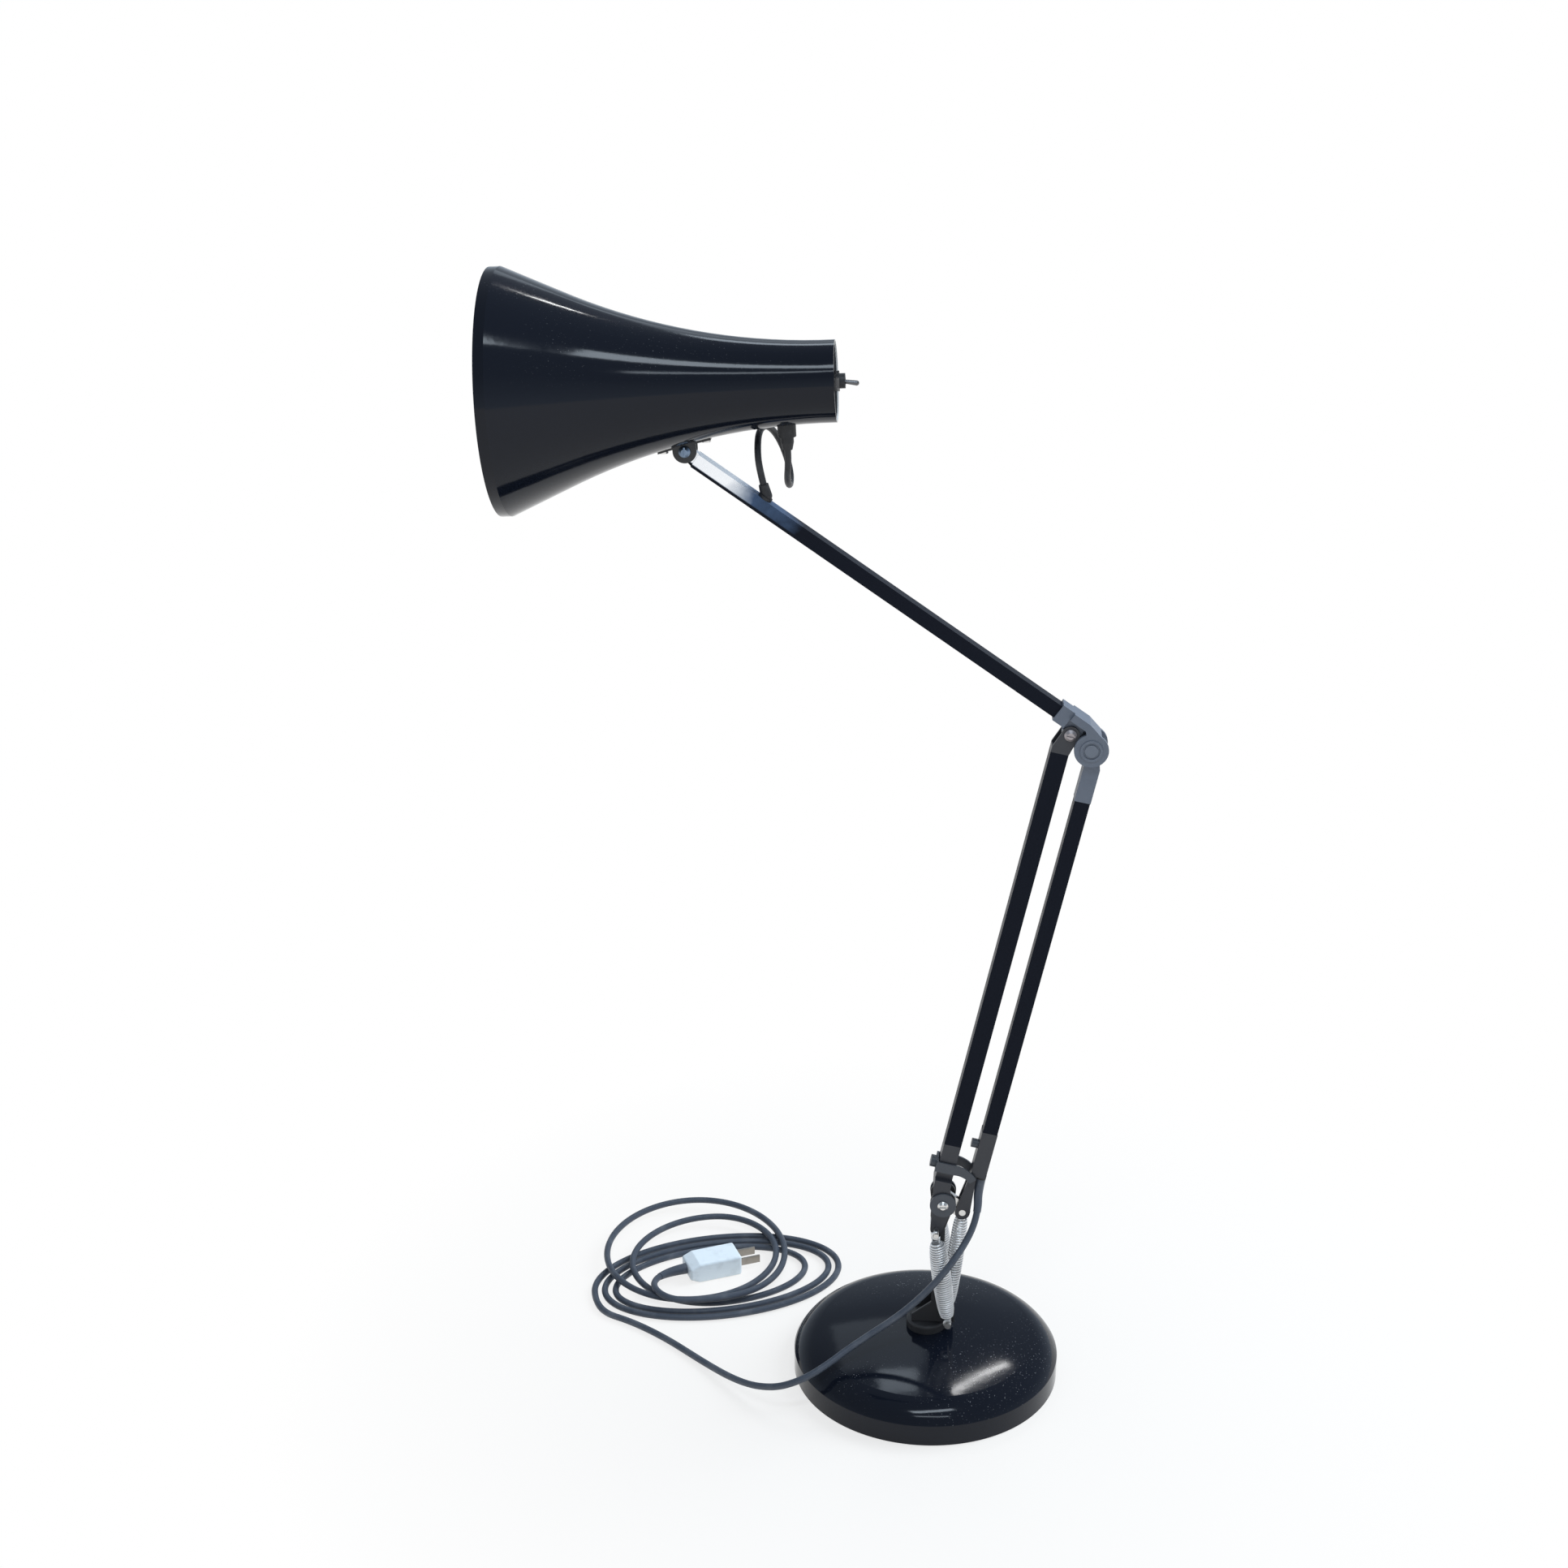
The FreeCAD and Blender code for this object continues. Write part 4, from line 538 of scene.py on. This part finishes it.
class LAMP_OT_mains_lead(bpy.types.Operator):
    """Make the mains lead from the rod's foot to the plug"""

    bl_idname = "lamp.mains_lead"
    bl_label = "Mains lead"

    def execute(self, context):
        thickness = context.scene.lamp_sizes.cord_thickness
        sheath = rubber("lead_sheath", tuple(context.scene.lamp_colours.sheath), SHEATH_ROUGHNESS)
        path = smooth_line([CORD_EXIT] + [point(*spot) for spot in CORD_DROP] + loop_points())
        crank = first_below(path, CRANK_LEVEL)
        arm = first_below(path, ARM_LEVEL)
        top = tube("lead_top", path[:crank + 1], thickness, sheath)
        rise = tube("lead_rise", path[crank:arm + 1], thickness, sheath)
        lead = tube("mains_lead", path[arm:], thickness, sheath)
        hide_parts("mains_cord", "cord_coil")
        upper = sleeve("rod_foot_sleeve", path, thickness, ROD_SLEEVE_WIDE, sheath)
        lower = sleeve("plug_sleeve", path[::-1], thickness, PLUG_SLEEVE_WIDE, sheath)
        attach(lower, "bracket")
        line_length(path[arm:])
        for piece in (top, upper):
            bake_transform(piece)
        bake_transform(rise)
        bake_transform(lead)
        return {"FINISHED"}


GLAND_TIP = (-106.352, 0, 721.650)
GLAND_RUN_END = (-105.904, 0, 712.661)
STEM_RUN_END = (-125.538, 0, 709.227)
STEM_TIP = (-122.619, 0, 697.433)
# slack loop of the head lead, from the tilt pivot
HEAD_LOOP = [(67.6, 8, -22), (68.6, 21, -30), (68.6, 36, -26.5), (64.6, 44, -13), (57.6, 40, 3),
             (51.6, 27, 11.5), (48.1, 12, 9.8), (48.1, 2.5, -0.2)]


def head_lead_route():
    """Control points of the head lead, from the gland to the upper arm."""
    loop = [(KNUCKLE[0] + x, y, KNUCKLE[1] + z) for x, y, z in HEAD_LOOP]
    return [point(*spot) for spot in (GLAND_TIP, GLAND_RUN_END, *loop, STEM_RUN_END, STEM_TIP)]


class LAMP_OT_head_lead(bpy.types.Operator):
    """Make the slack lead from the shade's gland to the upper arm"""

    bl_idname = "lamp.head_lead"
    bl_label = "Head lead"

    def execute(self, context):
        thickness = context.scene.lamp_sizes.lead_thickness
        route = head_lead_route()
        path = smooth_line(route)
        far = max(range(len(path)), key=lambda k: path[k].y)
        sheath = rubber("head_lead_sheath", HEAD_SHEATH, SHEATH_ROUGHNESS)
        lead = tube("head_lead_loop", path[:far + 1], thickness, sheath)
        rise = tube("head_lead_rise", path[far:], thickness, sheath)
        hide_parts("head_lead")
        line_length(path[:far + 1])
        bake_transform(lead)
        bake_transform(rise)
        return {"FINISHED"}


# height on the centre spring above which its top is made as a piece of its own
SPRING_JOIN = 121.0
SPRING_COLOUR = (0.9, 0.9, 0.9)
SPRING_ROUGHNESS = 0.32
COIL_POINTS_PER_TURN = 14
# eye at each end of a spring: size and neck in thicknesses of the wire, and its points in degrees
EYE_SIZE = 1.8
NECK_LENGTH = 3.6
EYE_POINTS = 10
EYE_STEP = 29
LOW_EYE_FROM = -200
HIGH_EYE_FROM = -60
# least coil radius in thicknesses of the wire, how full the coils are, their width at the low end
LEAST_COIL = 0.9
COIL_FULLNESS = 0.2
LOW_END_WIDTH = 0.86


def spring_points(low, high, widest, wire, turns):
    """Close coils that widen a little upwards, with an eye round the pin at each end."""
    axis = (high - low).normalized()
    side = Vector((0, 1, 0)).cross(axis).normalized()
    across = axis.cross(side)
    eye = wire * EYE_SIZE
    neck = wire * NECK_LENGTH
    coiled = (high - low).length - 2 * neck
    least = wire * LEAST_COIL

    def eye_way(first, k):
        angle = math.radians(first + EYE_STEP * k)
        return (axis * math.cos(angle) + side * math.sin(angle)) * eye

    points = [low + eye_way(LOW_EYE_FROM, k) for k in range(EYE_POINTS)]
    steps = turns * COIL_POINTS_PER_TURN
    for k in range(steps + 1):
        share = k / steps
        widening = LOW_END_WIDTH + (1 - LOW_END_WIDTH) * share
        radius = least + (widest - least) * math.sin(math.pi * share) ** COIL_FULLNESS * widening
        angle = 2 * math.pi * turns * share
        spoke = side * math.cos(angle) + across * math.sin(angle)
        points.append(low + axis * (neck + coiled * share) + spoke * radius)
    return points + [high - eye_way(HIGH_EYE_FROM, k) for k in range(EYE_POINTS)]


class LAMP_OT_springs(bpy.types.Operator):
    """Wind the three balance springs"""

    bl_idname = "lamp.springs"
    bl_label = "Balance springs"

    def execute(self, context):
        sizes = context.scene.lamp_sizes
        steel = bright_metal("spring_steel", SPRING_COLOUR, SPRING_ROUGHNESS)
        lever = (MAIN_PIVOT[0] - LEVER_LENGTH * math.sin(ARM_LEAN),
                 MAIN_PIVOT[1] - LEVER_LENGTH * math.cos(ARM_LEAN))
        tops = {"spring_front": lever, "spring_rear": lever, "spring_centre": CRANK_EYE}
        for node, top in tops.items():
            box_low, box_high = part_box(node)
            middle = (box_low.y + box_high.y) / 2 / MM
            low = point(SPRING_ANCHOR[0], middle, SPRING_ANCHOR[1])
            high = point(top[0], middle, top[1])
            widest = (box_high.y - box_low.y) / 2 - sizes.spring_wire / 2
            route = spring_points(low, high, widest, sizes.spring_wire, sizes.spring_turns)
            hold, body = high, route
            if top == CRANK_EYE:
                cut = next(k for k, spot in enumerate(route) if spot.z > SPRING_JOIN * MM)
                hold = low.lerp(high, (route[cut].z - low.z) / (high.z - low.z))
                body = route[:cut + 1]
                hook = tube(node + "_top", route[cut:], sizes.spring_wire, steel, WIRE_SIDES)
                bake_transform(hook)
            coil = tube(node + "_coils", body, sizes.spring_wire, steel, WIRE_SIDES)
            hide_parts(node)
            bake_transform(coil)
        return {"FINISHED"}


# side outline of the bracket's plates as (x, z), from the foot to the rounded end at the pivot
POST_OUTLINE = [(-11, 45.2), (21.5, 45.2), (21.5, 57), (12.5, 63), (12.5, 128), (19.9, 150.4)]
POST_END = 9.5
POST_CLOSE = [(0.9, 150.4), (3.5, 128), (3.5, 63), (-11, 51.5)]
# inner and outer face of each post, from the plane of the arms
POST_SIDES = (5.8, 7.8)
FOOT_TOP = 50.2
END_STEPS = 16
POST_EASE = 0.4
FOOT_EASE = 0.3
SHARP_ANGLE = math.radians(30)


def prism(name, outline, low_y, high_y, edge):
    """A plate of the given side outline, with eased edges."""
    count = len(outline)
    spots = [point(x, low_y, z) for x, z in outline] + [point(x, high_y, z) for x, z in outline]
    faces = [list(range(count)), list(range(2 * count - 1, count - 1, -1))]
    faces += [[k, k + count, (k + 1) % count + count, (k + 1) % count] for k in range(count)]
    mesh = bpy.data.meshes.new(name)
    mesh.from_pydata(spots, [], faces)
    shape = bmesh.new()
    shape.from_mesh(mesh)
    bmesh.ops.recalc_face_normals(shape, faces=shape.faces)
    sharp = [e for e in shape.edges if e.calc_face_angle() > SHARP_ANGLE]
    bmesh.ops.bevel(shape, geom=sharp, offset=edge * MM, segments=2, affect="EDGES", profile=0.5)
    shape.to_mesh(mesh)
    shape.free()
    made = bpy.data.objects.new(name, mesh)
    bpy.context.scene.collection.objects.link(made)
    return made


class LAMP_OT_bracket(bpy.types.Operator):
    """Make the bracket of two slim posts on a foot"""

    bl_idname = "lamp.bracket"
    bl_label = "Bracket"

    def execute(self, context):
        finish = satin_black("bracket_paint", BLACK_PAINT)
        x, z = MAIN_PIVOT
        turns = [math.pi * k / END_STEPS for k in range(1, END_STEPS)]
        end = [(x + POST_END * math.cos(turn), z + POST_END * math.sin(turn)) for turn in turns]
        outline = POST_OUTLINE + end + POST_CLOSE
        near, far = POST_SIDES
        left, right = POST_CLOSE[-1][0], POST_OUTLINE[1][0]
        low = POST_OUTLINE[0][1]
        foot = [(left, low), (right, low), (right, FOOT_TOP), (left, FOOT_TOP)]
        pieces = [prism("bracket_front", outline, -far, -near, POST_EASE),
                  prism("bracket_rear", outline, near, far, POST_EASE),
                  prism("bracket_foot", foot, -near, near, FOOT_EASE)]
        for piece in pieces:
            piece.data.materials.append(finish)
            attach(piece, "bracket")
        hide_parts("fork_bracket")
        return {"FINISHED"}


# satin pieces: finish, colour, least roughness, shine, pieces
SATIN_FINISHES = [
    ("cap_moulding", (0.009, 0.009, 0.011), 0.42, 0.0, ["rear_cap"]),
    ("saddle_paint", BLACK_PAINT, SATIN_ROUGHNESS, SATIN_SHINE, ["saddle"]),
    ("black_moulding", BLACK_MOULDING, 0.4, SATIN_SHINE,
     ["swivel_bush", "switch_body", "lampholder"]),
    ("foot_paint", (0.02, 0.021, 0.028), 0.3, SATIN_SHINE, ["arm_foot", "rod_foot", "arm_top"]),
    ("washer_black", (0.05, 0.056, 0.068), 0.3, SATIN_SHINE,
     ["pivot_washers", "guide_arch", "clamp_bolt", "grip_screw"]),
]
# plated pieces: finish, colour, least roughness, pieces
METAL_FINISHES = [
    ("plated_steel", (0.72, 0.71, 0.69), 0.2,
     ["swivel_spindle", "spindle_nut", "pivot_bolt", "pivot_nut", "spring_anchor", "lever_pins",
      "crank", "crank_pin", "saddle_rivets"]),
    ("screw_steel", (0.4, 0.37, 0.38), 0.44, ["elbow_screw"]),
    ("blued_steel", (0.2, 0.27, 0.37), 0.24, ["tilt_bolt"]),
    ("dark_chrome", (0.16, 0.16, 0.165), 0.2, ["switch_nut", "switch_lever"]),
    ("pin_plate", (0.4, 0.37, 0.33), 0.3, ["plug_pins"]),
]


class LAMP_OT_finishes(bpy.types.Operator):
    """Paint and plate the frame's own pieces"""

    bl_idname = "lamp.finishes"
    bl_label = "Finishes"

    def execute(self, context):
        colours = context.scene.lamp_colours
        paint(base_enamel(colours), "base_cover")
        paint(shade_enamel(colours), "shade")
        paint(arm_paint(colours), "main_tube", "rod_tube", "upper_tube", "knuckle_end")
        paint(moulding(colours), "elbow_housing", "rod_sleeve")
        paint(moulding_cap(colours), "tail_pin")
        for name, colour, rough_from, shine, pieces in SATIN_FINISHES:
            paint(satin_black(name, colour, rough_from, shine), *pieces)
        for name, colour, rough_from, pieces in METAL_FINISHES:
            paint(bright_metal(name, colour, rough_from), *pieces)
        paint(plug_plastic(colours), "plug_body")
        paint(rubber("black_rubber", BLACK_MOULDING), "cord_bush", "arm_grommet", "lead_gland")
        paint(felt("foot_felt"), "base_pad")
        paint(cast_iron("cast_weight"), "base_weight")
        paint(opal_glass("bulb_glass"), "bulb")
        return {"FINISHED"}


WHITE = (1.0, 1.0, 1.0)
COOL = (0.78, 0.89, 1.0)
SHADE_MIDDLE = (-0.19, 0, 0.77)
# lamps of the room: name, place, aim, direction of the long side, size, watts, colour
LAMPS = [("key", (1.8, 0.6, 1.8), (-0.05, 0, 0.2), (0, 1, 0), (1.6, 1.6), 52, COOL),
         ("front_tube", (0.185, -0.965, 2.4), SHADE_MIDDLE, (1.01, 0.55, 0), (1.15, 0.3), 13, COOL),
         ("near_tube", (0.265, -1.9, 2.4), SHADE_MIDDLE, (1, 0, 0), (1.23, 0.15), 4.5, COOL),
         ("rear_tube", (-0.24, 1.7, 2.4), SHADE_MIDDLE, (1, 0, 0), (0.35, 0.4), 1.8, COOL),
         ("rear_panel", (-0.45, 2.75, 2.4), (0, 0, 0), (1, 0, 0), (0.9, 1.1), 2.2, COOL),
         ("ceiling_tube", (0.4725, 1.82, 2.3), (0.4725, 1.82, 0), (0.605, 0.969, 0), (1.14, 0.05),
          7.2, WHITE)]
SKY_COLOUR = (0.76, 0.87, 1)
# brightness of the room from the level of the floor to overhead
SKY_STOPS = [(0.0, 0.85), (0.2, 0.6), (0.45, 0.36), (1.0, 0.3)]
FLOOR_REACH = 30.0
FLOOR_HEIGHT = -0.0003
FLOOR_TINTS = ((0.95, 0.89, 0.82), (0.97, 0.91, 0.84))
# share of white glow in the floor next to the base, and the radii over which it grows to all
NEAR_GLOW = 0.7
GLOW_FROM = 0.14
GLOW_FULL = 0.5
CAMERA_AT = (0.0, -1.6343, 1.1529)
# downward and leftward turn in degrees, and the focal length in picture widths
CAMERA_PITCH = 22.3
CAMERA_YAW = 3.81
FOCAL_SHARE = 3111 / 1932
SENSOR = 36.0


def area_lamp(name, at, aim, along, size, power, colour):
    """A rectangle of light whose first side runs along a direction."""
    light = bpy.data.lights.new(name, "AREA")
    light.shape = "RECTANGLE"
    light.size, light.size_y = size
    light.energy = power
    light.color = colour
    lamp = bpy.data.objects.new(name, light)
    back = (Vector(at) - Vector(aim)).normalized()
    side = Vector(along)
    side = (side - back * side.dot(back)).normalized()
    turn = Matrix((side, back.cross(side), back)).transposed()
    lamp.matrix_world = Matrix.Translation(at) @ turn.to_4x4()
    bpy.context.scene.collection.objects.link(lamp)
    return lamp


def seen_rays(finish):
    """1 for rays that show a surface as it looks: to the camera, in a mirror or through glass."""
    rays = [finish.node("LightPath", output=name) for name in
            ("Is Camera Ray", "Is Glossy Ray", "Is Transmission Ray")]
    return rays[0] + rays[1] + rays[2]


def floor_finish():
    """A white sweep that keeps a soft shadow."""
    finish = Finish("floor_white")
    mottle = finish.noise(scale=2.0, detail=2.0)
    tint = finish.mix(mottle, *FLOOR_TINTS)
    matt = finish.node("BsdfDiffuse", inputs={"Color": tint})
    glow = finish.node("Emission", inputs={"Color": WHITE, "Strength": 1.0})
    reach = finish.node("VectorMath", {"operation": "LENGTH"}, (finish.place,), output="Value")
    far = finish.ramp(reach, (GLOW_FROM, 0.0), (GLOW_FULL, 1.0))
    share = seen_rays(finish) * (NEAR_GLOW + far * (1 - NEAR_GLOW))
    shader = finish.node("MixShader", inputs=(share, matt, glow))
    finish.node("OutputMaterial", inputs={"Surface": shader})
    return finish.material


class LAMP_OT_stage(bpy.types.Operator):
    """Set out the floor, the light and the camera"""

    bl_idname = "lamp.stage"
    bl_label = "Stage"

    def execute(self, context):
        scene = context.scene
        scene.view_settings.view_transform = "Standard"
        self.lay_floor(scene)
        self.light_world(scene)
        lamps = {row[0]: area_lamp(*row) for row in LAMPS}
        lamps["key"].visible_glossy = False
        self.set_camera(scene)
        return {"FINISHED"}

    @staticmethod
    def lay_floor(scene):
        mesh = bpy.data.meshes.new("floor")
        sides = ((-1, -1), (1, -1), (1, 1), (-1, 1))
        corners = [(x * FLOOR_REACH, y * FLOOR_REACH, FLOOR_HEIGHT) for x, y in sides]
        mesh.from_pydata(corners, [], [(0, 1, 2, 3)])
        mesh.materials.append(floor_finish())
        floor = bpy.data.objects.new("floor", mesh)
        scene.collection.objects.link(floor)

    @staticmethod
    def light_world(scene):
        scene.world = bpy.data.worlds.new("studio")
        sky = Finish("studio", scene.world, "Generated")
        walls = sky.ramp(sky.axis("Z"), *SKY_STOPS)
        glow = sky.node("Background", inputs={"Color": SKY_COLOUR, "Strength": walls})
        sky.node("OutputWorld", inputs={"Surface": glow})

    @staticmethod
    def set_camera(scene):
        data = bpy.data.cameras.new("camera")
        data.sensor_width = SENSOR
        data.lens = SENSOR * FOCAL_SHARE
        data.clip_end = 100.0
        camera = bpy.data.objects.new("camera", data)
        camera.location = CAMERA_AT
        pitch, yaw = math.radians(90 - CAMERA_PITCH), math.radians(CAMERA_YAW)
        camera.rotation_euler = Euler((pitch, 0, yaw), "XYZ")
        scene.collection.objects.link(camera)
        scene.camera = camera


class LAMP_PT_looks(bpy.types.Panel):
    """Sizes, colours and steps of the desk lamp"""

    bl_idname = "LAMP_PT_looks"
    bl_label = "Desk lamp"
    bl_space_type = "VIEW_3D"
    bl_region_type = "UI"
    bl_category = "Desk lamp"

    def draw(self, context):
        for group in (context.scene.lamp_sizes, context.scene.lamp_colours):
            box = self.layout.box()
            for name in group.bl_rna.properties.keys():
                if name not in ("rna_type", "name"):
                    box.prop(group, name)
        for operator in STEPS:
            self.layout.operator(operator.bl_idname)


STEPS = (LAMP_OT_finishes, LAMP_OT_bracket, LAMP_OT_mains_lead, LAMP_OT_head_lead, LAMP_OT_springs,
         LAMP_OT_stage)
CLASSES = (LampSizes, LampColours, *STEPS, LAMP_PT_looks)


def register():
    for made in CLASSES:
        bpy.utils.register_class(made)
    bpy.types.Scene.lamp_sizes = bpy.props.PointerProperty(type=LampSizes)
    bpy.types.Scene.lamp_colours = bpy.props.PointerProperty(type=LampColours)


def unregister():
    del bpy.types.Scene.lamp_colours
    del bpy.types.Scene.lamp_sizes
    for made in reversed(CLASSES):
        bpy.utils.unregister_class(made)


def main():
    register()
    bpy.ops.lamp.finishes()
    bpy.ops.lamp.bracket()
    bpy.ops.lamp.mains_lead()
    bpy.ops.lamp.head_lead()
    bpy.ops.lamp.springs()
    bpy.ops.lamp.stage()


if __name__ == "__main__":
    main()
